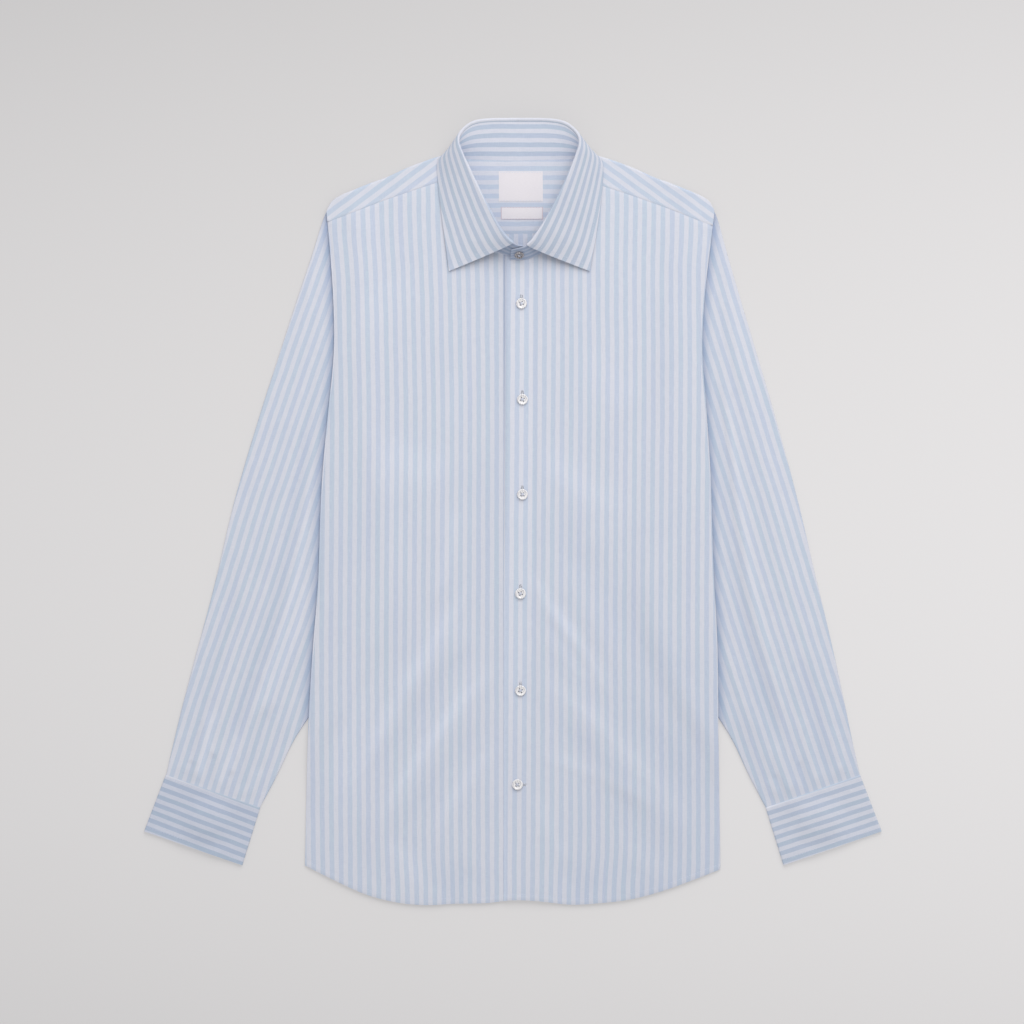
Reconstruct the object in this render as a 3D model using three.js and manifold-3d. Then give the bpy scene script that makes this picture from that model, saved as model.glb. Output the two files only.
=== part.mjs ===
// A long sleeve dress shirt, buttoned and laid flat on its back, with its sleeves at its sides.
// Millimetres. +X is the wearer's left, +Y runs from the hem to the collar and +Z is up.
// The shirt lies on z = 0. Its two halves mirror each other about a middle line that leans a little.

import * as THREE from "three";
import Module from "manifold-3d";
import { mergeVertices } from "three/addons/utils/BufferGeometryUtils.js";

const wasm = await Module();
wasm.setup();
const { clamp, lerp, degToRad } = THREE.MathUtils;

// Cloth walls and the air between layers
const CLOTH = 1.2;
const STIFF_CLOTH = 1.5;
const SEAM_GAP = 0.3;
const LAYER_GAP = 1.6;
const LAYER_ROUND = 30;

// How far the middle of the finished box lies from the drawing's zero
const BOX_MIDDLE_X = 1.43;
const BOX_MIDDLE_Y = -0.19;

// Front opening
const OPENING_X = -7.8;
const OVERLAP = 36;
const OVERLAP_EASE = 22;

// Yoke
const YOKE_BACK_Y = 290.3;
const YOKE_NECK_Y = 368.2;
const YOKE_NECK_ACROSS = 75;
const YOKE_SEAM_SHIFT = 2;
const YOKE_SEAM_ROOM = 0.8;
const BACK_HEM_RISE = 2;

// Sleeves: the upper part of each is tucked under the body, which rises over it
const SLEEVE_GAP = 0.6;
const SLEEVE_LOFT = 3.2;
const SLEEVE_ROUND = 32;
const SLEEVE_CLEAR = 8;
const TUCK_LIFT = 2 * CLOTH + SLEEVE_GAP + SEAM_GAP + 0.1;
const TUCK_RAMP = 30;
const TUCK_CLEAR = 15;
const RAMP_SLACK = 1.4;
const RAMP_SPREAD = 0.65;
const SIDE_RIGHT = -1;
const SIDE_LEFT = 1;

// Cuffs
const CUFF_DEPTH = 61.2;
const CUFF_WIDTH = 104.5;
const CUFF_FLARE = 4;
const CUFF_GAP = 0.4;
const CUFF_STATIONS = 12;
const CUFF_LAP_START = 5;
const CUFF_LAP_END = 8;
const CUFF_LAP_FALL = 3;
const CUFF_SLANT = degToRad(19.1);
const CUFF_BUTTON_DEPTH = 30.9;
const CUFF_BUTTON_ROUND = 24;

// Collar
const ROLL_RISE = 0.5;
const ROLL_START = 2.8;
const ROLL_DEPTH = 2.6;
const LAP_SHIFT = 1.2;
const LEAF_BELLY = 3;
const LEAF_STRAIGHT = 8.5;

// Buttons
const BUTTON_DIAMETER = 11.4;
const COLLAR_BUTTON_DIAMETER = 10;
const BUTTON_THICKNESS = 2.2;
const BUTTON_HOLE_DIAMETER = 1.5;
const BUTTON_HOLE_SPACING = 2.7;
const BUTTON_SEGMENTS = 12;
const HOLE_SEGMENTS = 5;
const BUTTON_CLEAR = 0.1;
const CUFF_BUTTON_RISE = BUTTON_THICKNESS + BUTTON_CLEAR + SEAM_GAP;

// Labels inside the yoke
const LABEL_CLOTH = 1;
const MAIN_LABEL = { across: 0.5, y: 338, width: 45.8, height: 31.2 };
const SMALL_LABEL = { across: 1.6, y: 310.2, width: 43.7, height: 13 };

// The middle line: how far it leans to the wearer's left at each height
const middleRows = [
  { y: -409, lean: 1 },
  { y: -240, lean: 1.7 },
  { y: -200, lean: 2.4 },
  { y: -100, lean: 4.6 },
  { y: 0, lean: 4.8 },
  { y: 115, lean: 6.2 },
  { y: 219, lean: 7.6 },
  { y: 300, lean: 9.2 },
  { y: 350, lean: 9.1 },
  { y: 378, lean: 8.1 },
  { y: 408, lean: 7 },
];

// Half the body's width, from the middle line to the side seam or the armhole
const bodyRows = [
  { y: -368, half: 215.8 },
  { y: -240, half: 213.4 },
  { y: -144, half: 210.3 },
  { y: -67, half: 205.4 },
  { y: 32, half: 202.0 },
  { y: 115, half: 195.5 },
  { y: 146, half: 192.6 },
  { y: 178, half: 191.2 },
  { y: 219, half: 192.7 },
  { y: 257, half: 195.8 },
  { y: 310, half: 201.5 },
];

// The shirt tail's hem, from the wearer's right side to the left
const hemRows = [
  { across: -215.8, y: -368.2 },
  { across: -184.6, y: -383.8 },
  { across: -153.4, y: -397.8 },
  { across: -122.2, y: -406.1 },
  { across: -91, y: -409.2 },
  { across: -59.6, y: -407.8 },
  { across: -28, y: -407.2 },
  { across: 0, y: -404.2 },
  { across: 25, y: -405 },
  { across: 60, y: -408.7 },
  { across: 91, y: -407.2 },
  { across: 122, y: -403.4 },
  { across: 153.4, y: -395.4 },
  { across: 184.4, y: -384.4 },
  { across: 215.8, y: -372.2 },
];

// The shoulder fold, where the yoke turns from the back over to the front
const shoulderRows = [
  { across: 70, y: 371 },
  { across: 82, y: 369.7 },
  { across: 100, y: 364 },
  { across: 116, y: 358 },
  { across: 141, y: 346.8 },
  { across: 152, y: 343 },
  { across: 173, y: 334.6 },
  { across: 188, y: 328 },
  { across: 196.5, y: 321.8 },
  { across: 201.5, y: 313 },
];

// The seam between the yoke and each front
const yokeSeamRows = [
  { across: 73, y: 345.4 },
  { across: 90, y: 339.8 },
  { across: 124, y: 328.4 },
  { across: 145, y: 321 },
  { across: 166, y: 312.9 },
  { across: 185, y: 305.5 },
  { across: 199.5, y: 300.5 },
];

// The fronts' neckline, from the middle to the yoke seam
const neckRows = [
  { across: 0, y: 264.2 },
  { across: 20, y: 268.3 },
  { across: 38, y: 279 },
  { across: 52.5, y: 301 },
  { across: 64, y: 322 },
  { across: 73, y: 345.4 },
];

// How far in, under the body, each sleeve's hidden edge lies
const tuckRows = [
  { y: -309, half: 263.5 },
  { y: -276, half: 246 },
  { y: -238, half: 227.8 },
  { y: -203, half: 206 },
  { y: -148, half: 177 },
  { y: -92, half: 160 },
  { y: -38, half: 157 },
  { y: 18, half: 164 },
  { y: 66, half: 176 },
  { y: 92, half: 181 },
  { y: 180, half: 182 },
  { y: 240, half: 185 },
  { y: 290, half: 190 },
  { y: 310, half: 196 },
];

// Sections of a sleeve from the armhole to the cuff: its outer edge, the height where the
// section meets the inner edge, and how far the section bows towards the body
const sleeveRows = [
  { section: 0, outer: 203.2, outerY: 309, innerY: 92, bow: 6.5 },
  { section: 1, outer: 217.9, outerY: 261, innerY: 66, bow: 4 },
  { section: 2, outer: 243.9, outerY: 178, innerY: 18, bow: 1.5 },
  { section: 3, outer: 269.4, outerY: 94.6, innerY: -38, bow: 0 },
  { section: 4, outer: 292.8, outerY: 11.4, innerY: -92, bow: 0 },
  { section: 5, outer: 312.5, outerY: -71.8, innerY: -148, bow: 0 },
  { section: 6, outer: 333.3, outerY: -155, innerY: -203, bow: 0 },
  { section: 7, outer: 343.2, outerY: -196.6, innerY: -238, bow: 0 },
  { section: 8, outer: 352.6, outerY: -238.2, innerY: -276, bow: 0 },
  { section: 9, outer: 361, outerY: -275.2, innerY: -309, bow: 0 },
];
const LAST_SECTION = sleeveRows.length - 1;

// Lengthwise troughs in the sleeves: sections they run between, place across from the outer
// edge (0) to the inner edge (1) at each end, half width and depth
const sleeveTroughs = [
  { side: SIDE_RIGHT, start: 1.4, end: 8.2, atStart: 0.36, atEnd: 0.52, width: 9, depth: 1.8 },
  { side: SIDE_RIGHT, start: 4.5, end: 8.8, atStart: 0.14, atEnd: 0.2, width: 7, depth: 1.1 },
  { side: SIDE_RIGHT, start: 6.2, end: 9, atStart: 0.68, atEnd: 0.74, width: 7, depth: 1.2 },
  { side: SIDE_LEFT, start: 1.4, end: 7.9, atStart: 0.42, atEnd: 0.66, width: 9, depth: 1.8 },
  { side: SIDE_LEFT, start: 5.6, end: 9, atStart: 0.24, atEnd: 0.3, width: 8, depth: 1.2 },
];

// Soft ridges that fan out from the front opening: both ends, half width and height
const frontRidges = [
  { x: 44, y: -45, endX: 118, endY: -170, width: 15, height: 1.3 },
  { x: 36, y: -118, endX: 100, endY: -250, width: 14, height: 1.4 },
  { x: 88, y: -235, endX: 190, endY: -358, width: 17, height: 1.4 },
  { x: 50, y: -205, endX: 150, endY: -318, width: 13, height: 1.2 },
  { x: 40, y: 60, endX: 96, endY: -60, width: 18, height: 0.8 },
  { x: -52, y: 10, endX: -82, endY: -110, width: 17, height: 0.8 },
  { x: -40, y: -115, endX: -128, endY: -205, width: 15, height: 1.3 },
  { x: -26, y: -150, endX: -92, endY: -285, width: 14, height: 1.4 },
  { x: -66, y: -250, endX: -160, endY: -362, width: 16, height: 1.4 },
];

// Sections of the collar from the back's middle to the front: places on the neck seam
const collarSeamRows = [
  { section: 0, across: 0, y: 367.4, z: 2.1 },
  { section: 1, across: 28, y: 367.8, z: 2.1 },
  { section: 2, across: 45, y: 368.2, z: 2.1 },
  { section: 3, across: 57, y: 368.6, z: 2.3 },
  { section: 4, across: 66, y: 369, z: 3 },
  { section: 5, across: 73.5, y: 369.3, z: 4.5 },
  { section: 6, across: 76.5, y: 365, z: 4.7 },
  { section: 7, across: 73, y: 345, z: 4.7 },
  { section: 8, across: 64, y: 322, z: 4.9 },
  { section: 9, across: 52.5, y: 301, z: 5.2 },
  { section: 10, across: 38, y: 279, z: 5.8 },
  { section: 11, across: 10, y: 264.8, z: 6.6 },
  { section: 12, across: -10, y: 263.6, z: 6.8 },
];

// The collar's fold at the same sections
const collarFoldRows = [
  { section: 0, across: 0, y: 407, z: 23 },
  { section: 1, across: 30, y: 406.6, z: 23 },
  { section: 2, across: 45.5, y: 404.2, z: 23 },
  { section: 3, across: 54.6, y: 398.8, z: 23 },
  { section: 4, across: 60.6, y: 391.2, z: 23 },
  { section: 5, across: 62, y: 383.4, z: 23.5 },
  { section: 6, across: 60, y: 375, z: 24 },
  { section: 7, across: 51.5, y: 354.6, z: 24.5 },
  { section: 8, across: 41.9, y: 333.8, z: 25 },
  { section: 9, across: 31.2, y: 313, z: 25.5 },
  { section: 10, across: 19, y: 292.2, z: 26 },
  { section: 11, across: 7.1, y: 278.7, z: 26 },
  { section: 12, across: -9, y: 274.4, z: 20.5 },
];

// The outer edge of the collar's leaf, which ends a section before the band
const collarEdgeRows = [
  { section: 0, across: 0, y: 371.5, z: 1 },
  { section: 1, across: 31, y: 371.6, z: 1 },
  { section: 2, across: 49, y: 372.5, z: 1.2 },
  { section: 3, across: 63, y: 374.5, z: 2 },
  { section: 4, across: 72, y: 375, z: 3.6 },
  { section: 5, across: 79.3, y: 371, z: 5 },
  { section: 6, across: 85.5, y: 362, z: 4.7 },
  { section: 7, across: 85.2, y: 340, z: 4.8 },
  { section: 8, across: 82.4, y: 314.5, z: 5.3 },
  { section: 9, across: 78.7, y: 287, z: 5.5 },
  { section: 10, across: 75.6, y: 267, z: 5.6 },
  { section: 11, across: 73.2, y: 249.8, z: 5.6 },
];
const LEAF_END = 11;
const BAND_END = 12;

// Buttons down the front: height and place across
const buttonRows = [
  { y: 216.3, x: 10.4 },
  { y: 116.5, x: 11.4 },
  { y: 17.7, x: 11.4 },
  { y: -85.3, x: 9.4 },
  { y: -186.2, x: 9.4 },
  { y: -283.9, x: 6.2 },
];

// Reads one column of a table at any place between its rows, along a smooth curve
function read(rows, by, at, column) {
  const last = rows.length - 1;
  let index = 0;
  while (index < last - 1 && at > rows[index + 1][by]) {
    index += 1;
  }
  const slope = (i) => {
    const before = rows[Math.max(i - 1, 0)];
    const after = rows[Math.min(i + 1, last)];
    return (after[column] - before[column]) / (after[by] - before[by]);
  };
  const low = rows[index];
  const high = rows[index + 1];
  const span = high[by] - low[by];
  const t = clamp((at - low[by]) / span, 0, 1);
  return (
    (1 + 2 * t) * (1 - t) ** 2 * low[column] +
    t * (1 - t) ** 2 * span * slope(index) +
    t * t * (3 - 2 * t) * high[column] +
    t * t * (t - 1) * span * slope(index + 1)
  );
}

function ease(value) {
  const t = clamp(value, 0, 1);
  return t * t * (3 - 2 * t);
}

function lean(y) {
  return read(middleRows, "y", y, "lean");
}

function bodyHalf(y) {
  return read(bodyRows, "y", y, "half");
}

function tuckHalf(y) {
  return read(tuckRows, "y", y, "half");
}

// How far a place has come up the ramp over a tucked sleeve: 0 at its foot and 1 at its top
function rampShare(x, y) {
  const across = Math.abs(x - lean(y));
  return (across + TUCK_CLEAR - tuckHalf(y)) / TUCK_RAMP + 1;
}

// Height of the back's underside: flat on the surface, and raised over the tucked sleeves
function backHeight(x, y) {
  return TUCK_LIFT * ease(rampShare(x, y));
}

function ridgeHeight(x, y) {
  let height = 0;
  for (const ridge of frontRidges) {
    const start = new THREE.Vector2(ridge.x, ridge.y);
    const run = new THREE.Vector2(ridge.endX, ridge.endY).sub(start);
    const from = new THREE.Vector2(x, y).sub(start);
    const length = run.length();
    const along = from.dot(run) / (length * length);
    const off = from.cross(run) / length;
    const taper = ease(along / 0.3) * ease((1 - along) / 0.3);
    height += ridge.height * taper * Math.exp(-((off / ridge.width) ** 2));
  }
  return height;
}

// Height of the fronts' underside, above the back
function frontHeight(x, y) {
  const across = Math.abs(x - lean(y));
  const inside = ease((bodyHalf(y) - across) / LAYER_ROUND);
  const air = lerp(SEAM_GAP, LAYER_GAP + ridgeHeight(x, y), inside);
  const slack = RAMP_SLACK * Math.exp(-(((rampShare(x, y) - 0.5) / RAMP_SPREAD) ** 2));
  return backHeight(x, y) + CLOTH + air + slack;
}

// The overlapping front lies on the other one at the opening
function overlapHeight(x) {
  const past = (x - OPENING_X - OVERLAP - 2) / OVERLAP_EASE;
  return (CLOTH + SEAM_GAP) * (1 - ease(past));
}

// A closed solid between two grids of points with the same rows and columns. A ringed grid's
// columns go round a tube, open at its first and last row.
function solidBetween(outer, inner, ringed = false) {
  const rows = outer.length;
  const columns = outer[0].length;
  const points = [];
  const faces = [];
  for (const grid of [outer, inner]) {
    for (const row of grid) {
      for (const point of row) {
        points.push(point.x, point.y, point.z);
      }
    }
  }
  const at = (layer, row, column) => (layer * rows + row) * columns + (column % columns);
  const quad = (a, b, c, d) => faces.push(a, b, c, a, c, d);
  const across = ringed ? columns : columns - 1;
  for (let row = 0; row < rows - 1; row += 1) {
    for (let column = 0; column < across; column += 1) {
      const next = column + 1;
      quad(at(0, row, column), at(0, row, next), at(0, row + 1, next), at(0, row + 1, column));
      quad(at(1, row, column), at(1, row + 1, column), at(1, row + 1, next), at(1, row, next));
    }
  }
  for (let column = 0; column < across; column += 1) {
    const end = rows - 1;
    quad(at(0, 0, column), at(1, 0, column), at(1, 0, column + 1), at(0, 0, column + 1));
    quad(at(0, end, column), at(0, end, column + 1), at(1, end, column + 1), at(1, end, column));
  }
  if (!ringed) {
    for (let row = 0; row < rows - 1; row += 1) {
      const side = columns - 1;
      quad(at(0, row, 0), at(0, row + 1, 0), at(1, row + 1, 0), at(1, row, 0));
      quad(at(0, row, side), at(1, row, side), at(1, row + 1, side), at(0, row + 1, side));
    }
  }
  return facingOut(points, faces);
}

// Turns every face over if the solid came out inside out
function facingOut(points, faces) {
  const corner = (i) => new THREE.Vector3().fromArray(points, faces[i] * 3);
  let volume = 0;
  for (let i = 0; i < faces.length; i += 3) {
    volume += corner(i).dot(corner(i + 1).cross(corner(i + 2)));
  }
  if (volume < 0) {
    faces.reverse();
  }
  const geometry = new THREE.BufferGeometry();
  geometry.setAttribute("position", new THREE.Float32BufferAttribute(points, 3));
  geometry.setIndex(faces);
  return geometry;
}

// A wall of even thickness with the given grid of points in its middle
function wallAlong(grid, thickness) {
  const rows = grid.length;
  const columns = grid[0].length;
  const shifted = (side) => grid.map((line, row) => line.map((point, column) => {
    const up = grid[Math.min(row + 1, rows - 1)][column].clone();
    const right = line[Math.min(column + 1, columns - 1)].clone();
    up.sub(grid[Math.max(row - 1, 0)][column]);
    right.sub(line[Math.max(column - 1, 0)]);
    return right.cross(up).setLength(side * thickness / 2).add(point);
  }));
  return solidBetween(shifted(1), shifted(-1));
}

function toManifold(geometry) {
  const plain = geometry.clone();
  plain.deleteAttribute("normal");
  plain.deleteAttribute("uv");
  const merged = mergeVertices(plain, 1e-4);
  return new wasm.Manifold(new wasm.Mesh({
    numProp: 3,
    vertProperties: new Float32Array(merged.attributes.position.array),
    triVerts: new Uint32Array(merged.index.array),
  }));
}

function fromManifold(solid) {
  const result = solid.getMesh();
  const geometry = new THREE.BufferGeometry();
  geometry.setAttribute("position", new THREE.BufferAttribute(result.vertProperties, 3));
  geometry.setIndex(new THREE.BufferAttribute(result.triVerts, 1));
  return geometry;
}

// A sheet that lies level: a grid over u and v in 0 to 1, from its underside up
function levelSheet(columns, rows, thickness, pointAt) {
  const underside = [];
  for (let row = 0; row <= rows; row += 1) {
    underside.push([]);
    for (let column = 0; column <= columns; column += 1) {
      underside[row].push(pointAt(column / columns, row / rows));
    }
  }
  const top = underside.map((line) => line.map(
    (point) => new THREE.Vector3(point.x, point.y, point.z + thickness),
  ));
  return solidBetween(top, underside);
}

function backPanel() {
  const pointAt = (u, v) => {
    const across = lerp(-1, 1, u);
    const hem = read(hemRows, "across", across * bodyHalf(hemRows[0].y), "y") + BACK_HEM_RISE;
    const y = lerp(hem, YOKE_BACK_Y - SEAM_GAP, v);
    const x = lean(y) + across * bodyHalf(y);
    return new THREE.Vector3(x, y, backHeight(x, y));
  };
  return levelSheet(26, 20, CLOTH, pointAt);
}

// The points along the top of a front, in order from its opening edge: neckline, then yoke seam
function frontTop(side, edgeX) {
  const neckCount = 9;
  const seamCount = 7;
  const corner = neckRows[neckRows.length - 1].across;
  const edgeAcross = side * (edgeX - lean(neckRows[0].y));
  const startAngle = Math.asin(edgeAcross / corner);
  const top = [];
  for (let i = 0; i < neckCount; i += 1) {
    const across = corner * Math.sin(lerp(startAngle, Math.PI / 2, i / neckCount));
    top.push({ across, y: read(neckRows, "across", Math.abs(across), "y") });
  }
  const end = yokeSeamRows[yokeSeamRows.length - 1].across;
  for (let i = 0; i <= seamCount; i += 1) {
    const across = lerp(corner, end, i / seamCount);
    const seam = read(yokeSeamRows, "across", across, "y");
    top.push({ across, y: seam - side * YOKE_SEAM_SHIFT - YOKE_SEAM_ROOM });
  }
  return top;
}

function frontPanel(side) {
  const rowCount = 25;
  const over = side === SIDE_LEFT;
  const edgeX = over ? OPENING_X : OPENING_X + OVERLAP;
  const top = frontTop(side, edgeX);
  const sideX = (y) => lean(y) + side * bodyHalf(y);
  const share = (point) => clamp(
    (lean(point.y) + side * point.across - edgeX) / (sideX(point.y) - edgeX), 0, 1,
  );
  const shares = top.map((point, i) => (i === top.length - 1 ? 1 : share(point)));
  const pointAt = (u, v) => {
    const column = Math.round(u * (top.length - 1));
    const hemX = lerp(edgeX, sideX(hemRows[0].y), shares[column]);
    const hem = read(hemRows, "across", hemX - lean(hemRows[0].y), "y");
    const y = lerp(hem, top[column].y, v);
    const x = lerp(edgeX, sideX(y), shares[column]);
    const rise = over ? overlapHeight(x) : 0;
    return new THREE.Vector3(x, y, frontHeight(x, y) + rise);
  };
  return levelSheet(top.length - 1, rowCount, CLOTH, pointAt);
}

// One shoulder of the yoke: from the back, over the fold, down to the front's seam
function yokeShoulder(side) {
  const columns = 13;
  const backCount = 3;
  const foldCount = 6;
  const frontCount = 3;
  const tip = shoulderRows[shoulderRows.length - 1].across;
  const grid = [];
  for (let column = 0; column <= columns; column += 1) {
    const share = column / columns;
    const across = lerp(YOKE_NECK_ACROSS, tip, 1 - (1 - share) ** 1.3);
    const foldY = read(shoulderRows, "across", across, "y");
    const seamShift = side * YOKE_SEAM_SHIFT;
    const seamY = read(yokeSeamRows, "across", across, "y") - seamShift;
    const place = (y, z) => {
      const half = across * bodyHalf(y) / bodyHalf(shoulderRows[shoulderRows.length - 1].y);
      return new THREE.Vector3(lean(y) + side * half, y, z);
    };
    const heightAt = (y) => {
      const x = place(y, 0).x;
      return { low: backHeight(x, y) + CLOTH / 2, high: frontHeight(x, y) + CLOTH / 2 };
    };
    const fold = heightAt(foldY);
    const radius = (fold.high - fold.low) / 2;
    const startY = foldY - radius - CLOTH / 2;
    const line = [];
    for (let i = 0; i <= backCount; i += 1) {
      const y = lerp(YOKE_BACK_Y, startY, i / backCount);
      line.push(place(y, heightAt(y).low));
    }
    for (let i = 1; i < foldCount; i += 1) {
      const angle = Math.PI * i / foldCount;
      const y = startY + radius * Math.sin(angle);
      line.push(place(y, (fold.low + fold.high) / 2 - radius * Math.cos(angle)));
    }
    for (let i = 0; i <= frontCount; i += 1) {
      const y = lerp(startY, Math.min(seamY, startY - 1), i / frontCount);
      line.push(place(y, heightAt(y).high));
    }
    grid.push(line);
  }
  return wallAlong(grid, CLOTH);
}

function yokePiece() {
  const neckPart = levelSheet(8, 3, CLOTH, (u, v) => {
    const y = lerp(YOKE_BACK_Y, YOKE_NECK_Y, v);
    const across = lerp(-1, 1, u) * (YOKE_NECK_ACROSS + 4);
    return new THREE.Vector3(lean(y) + across, y, 0);
  });
  const joined = toManifold(neckPart)
    .add(toManifold(yokeShoulder(SIDE_RIGHT)))
    .add(toManifold(yokeShoulder(SIDE_LEFT)));
  return fromManifold(joined);
}

// The air inside a sleeve at a place across a section, less its troughs
function sleeveAir(side, section, share, width, x, y) {
  const shown = Math.abs(x - lean(y)) - bodyHalf(y) - SLEEVE_CLEAR;
  const inside = Math.min(share * width, (1 - share) * width, shown);
  let air = lerp(SLEEVE_GAP, SLEEVE_LOFT, ease(inside / SLEEVE_ROUND));
  for (const trough of sleeveTroughs.filter((row) => row.side === side)) {
    const along = (section - trough.start) / (trough.end - trough.start);
    const at = lerp(trough.atStart, trough.atEnd, clamp(along, 0, 1));
    const off = (share - at) * width / trough.width;
    const taper = ease(along / 0.2) * ease((1 - along) / 0.2);
    air -= trough.depth * taper * Math.exp(-(off ** 2));
  }
  return Math.max(air, SEAM_GAP);
}

// The ends of a sleeve's section, and the line between them
function sleeveSection(side, section) {
  const outerY = read(sleeveRows, "section", section, "outerY");
  const innerY = read(sleeveRows, "section", section, "innerY");
  const outerX = lean(outerY) + side * read(sleeveRows, "section", section, "outer");
  const innerX = lean(innerY) + side * tuckHalf(innerY);
  const outer = new THREE.Vector3(outerX, outerY, 0);
  const inner = new THREE.Vector3(innerX, innerY, 0);
  const bow = read(sleeveRows, "section", section, "bow");
  const width = outer.distanceTo(inner);
  const across = inner.clone().sub(outer).normalize();
  const pointAt = (share) => {
    const point = outer.clone().lerp(inner, share);
    point.x -= side * bow * 4 * share * (1 - share);
    return point;
  };
  return { width, across, pointAt };
}

// One ring round a sleeve, set in from its outer skin: the top from the outer edge to the inner,
// the inner fold, the underside back, and the outer fold
function sleeveRing(side, section, inset) {
  const topCount = 10;
  const underCount = 4;
  const foldAngles = [45, 0, -45].map(degToRad);
  const { width, across, pointAt } = sleeveSection(side, section);
  const edgeRadius = CLOTH + SLEEVE_GAP / 2;
  const edgeShare = edgeRadius / width;
  const ring = [];
  for (let i = 0; i <= topCount; i += 1) {
    const share = lerp(edgeShare, 1 - edgeShare, i / topCount);
    const point = pointAt(share);
    const air = sleeveAir(side, section, share, width, point.x, point.y);
    point.z = 2 * CLOTH + air - inset;
    ring.push(point);
  }
  const addFold = (share, direction, angles) => {
    for (const angle of angles) {
      const reach = edgeRadius - inset;
      const point = pointAt(share).addScaledVector(across, direction * reach * Math.cos(angle));
      point.z = edgeRadius + reach * Math.sin(angle);
      ring.push(point);
    }
  };
  addFold(1 - edgeShare, 1, foldAngles);
  for (let i = underCount; i >= 0; i -= 1) {
    const point = pointAt(lerp(edgeShare, 1 - edgeShare, i / underCount));
    point.z = inset;
    ring.push(point);
  }
  addFold(edgeShare, -1, foldAngles.toReversed());
  return ring;
}

function sleeve(side) {
  const ringCount = 18;
  const outer = [];
  const inner = [];
  for (let i = 0; i <= ringCount; i += 1) {
    const section = LAST_SECTION * i / ringCount;
    outer.push(sleeveRing(side, section, 0));
    inner.push(sleeveRing(side, section, CLOTH));
  }
  return solidBetween(outer, inner, true);
}

// Place of a cuff's station across it, from its outer edge
function cuffStation(i) {
  const edge = STIFF_CLOTH + CUFF_GAP / 2;
  return lerp(edge, CUFF_WIDTH - edge, i / CUFF_STATIONS);
}

// A cuff's path round its section: place across from the outer edge, and height of its middle.
// It starts on the underside, goes round both edges and laps under its own start.
function cuffPath() {
  const half = STIFF_CLOTH / 2;
  const radius = half + CUFF_GAP / 2;
  const lapLow = half;
  const lapHigh = STIFF_CLOTH + SEAM_GAP + half;
  const topLow = STIFF_CLOTH + CUFF_GAP + half;
  const topHigh = 2 * STIFF_CLOTH + 2 * SEAM_GAP + half;
  const fold = [
    { away: radius * 0.8, z: lapLow + radius * 0.4 },
    { away: radius, z: lapLow + radius },
    { away: radius * 0.8, z: topLow - radius * 0.4 },
  ];
  const path = [];
  for (let i = CUFF_LAP_END; i >= 0; i -= 1) {
    const fallen = clamp(CUFF_LAP_START - i, 0, 2) / 2;
    path.push({ across: cuffStation(i), z: lerp(lapHigh, lapLow, fallen) });
  }
  for (const { away, z } of fold) {
    path.push({ across: cuffStation(0) - away, z });
  }
  for (let i = 0; i <= CUFF_STATIONS; i += 1) {
    const past = Math.max(CUFF_LAP_START - i, i - CUFF_LAP_END, 0);
    path.push({ across: cuffStation(i), z: lerp(topHigh, topLow, ease(past / CUFF_LAP_FALL)) });
  }
  for (const { away, z } of fold.toReversed()) {
    path.push({ across: cuffStation(CUFF_STATIONS) + away, z });
  }
  for (let i = CUFF_STATIONS; i >= CUFF_LAP_START; i -= 1) {
    path.push({ across: cuffStation(i), z: lapLow });
  }
  return path;
}

// Where a cuff starts: just past the sleeve's end, with the arm's direction and the way across
function cuffFrame(side) {
  const { width, pointAt } = sleeveSection(side, LAST_SECTION);
  const along = new THREE.Vector3(side * Math.sin(CUFF_SLANT), -Math.cos(CUFF_SLANT), 0);
  const across = new THREE.Vector3(-side * Math.cos(CUFF_SLANT), -Math.sin(CUFF_SLANT), 0);
  const start = pointAt(0).addScaledVector(across, (width - CUFF_WIDTH) / 2);
  return { start, along, across };
}

// Where a cuff's button is sewn, on the underside in the middle of the lap
function cuffButtonPlace(side) {
  const { start, along, across } = cuffFrame(side);
  const lap = cuffStation((CUFF_LAP_START + CUFF_LAP_END) / 2);
  return start.addScaledVector(along, CUFF_BUTTON_DEPTH).addScaledVector(across, lap);
}

// How far a cuff rises over the button under it
function cuffRise(side, point) {
  const reach = Math.hypot(point.x - cuffButtonPlace(side).x, point.y - cuffButtonPlace(side).y);
  const past = (reach - BUTTON_DIAMETER / 2) / CUFF_BUTTON_ROUND;
  return CUFF_BUTTON_RISE * (1 - ease(past));
}

function cuff(side) {
  const depthCount = 8;
  const { start, along, across } = cuffFrame(side);
  const grid = [];
  for (let i = 0; i <= depthCount; i += 1) {
    const share = i / depthCount;
    grid.push(cuffPath().map((step) => {
      const point = start.clone().addScaledVector(along, SEAM_GAP + CUFF_DEPTH * share);
      const flare = CUFF_FLARE * share * (step.across / CUFF_WIDTH - 0.5);
      point.addScaledVector(across, step.across + flare);
      point.z = step.z + cuffRise(side, point);
      return point;
    }));
  }
  return wallAlong(grid, STIFF_CLOTH);
}

// The collar's seam, fold and leaf edge at a section, on one side. At the front the lapping
// end moves out and the other end moves in.
function collarSection(side, section) {
  const shift = -side * LAP_SHIFT * ease(section - LEAF_END + 1);
  const point = (rows, raised) => {
    const across = read(rows, "section", section, "across");
    const y = read(rows, "section", section, "y") + raised;
    return new THREE.Vector3(lean(y) + side * across, y, read(rows, "section", section, "z"));
  };
  return {
    seam: point(collarSeamRows, shift),
    fold: point(collarFoldRows, shift),
    edge: point(collarEdgeRows, 0),
  };
}

// The band's rise from seam to fold, and the way out from the neck at right angles to it
function collarDirections(side, section) {
  const { seam, fold } = collarSection(side, section);
  const before = collarSection(side, Math.max(section - 0.5, 0));
  const after = collarSection(side, Math.min(section + 0.5, BAND_END));
  const rise = fold.clone().sub(seam).normalize();
  const round = after.fold.clone().sub(before.fold);
  if (section === 0) {
    round.set(side, 0, 0);
  }
  const out = rise.clone().cross(round).multiplyScalar(side).normalize();
  return { rise, out };
}

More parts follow.
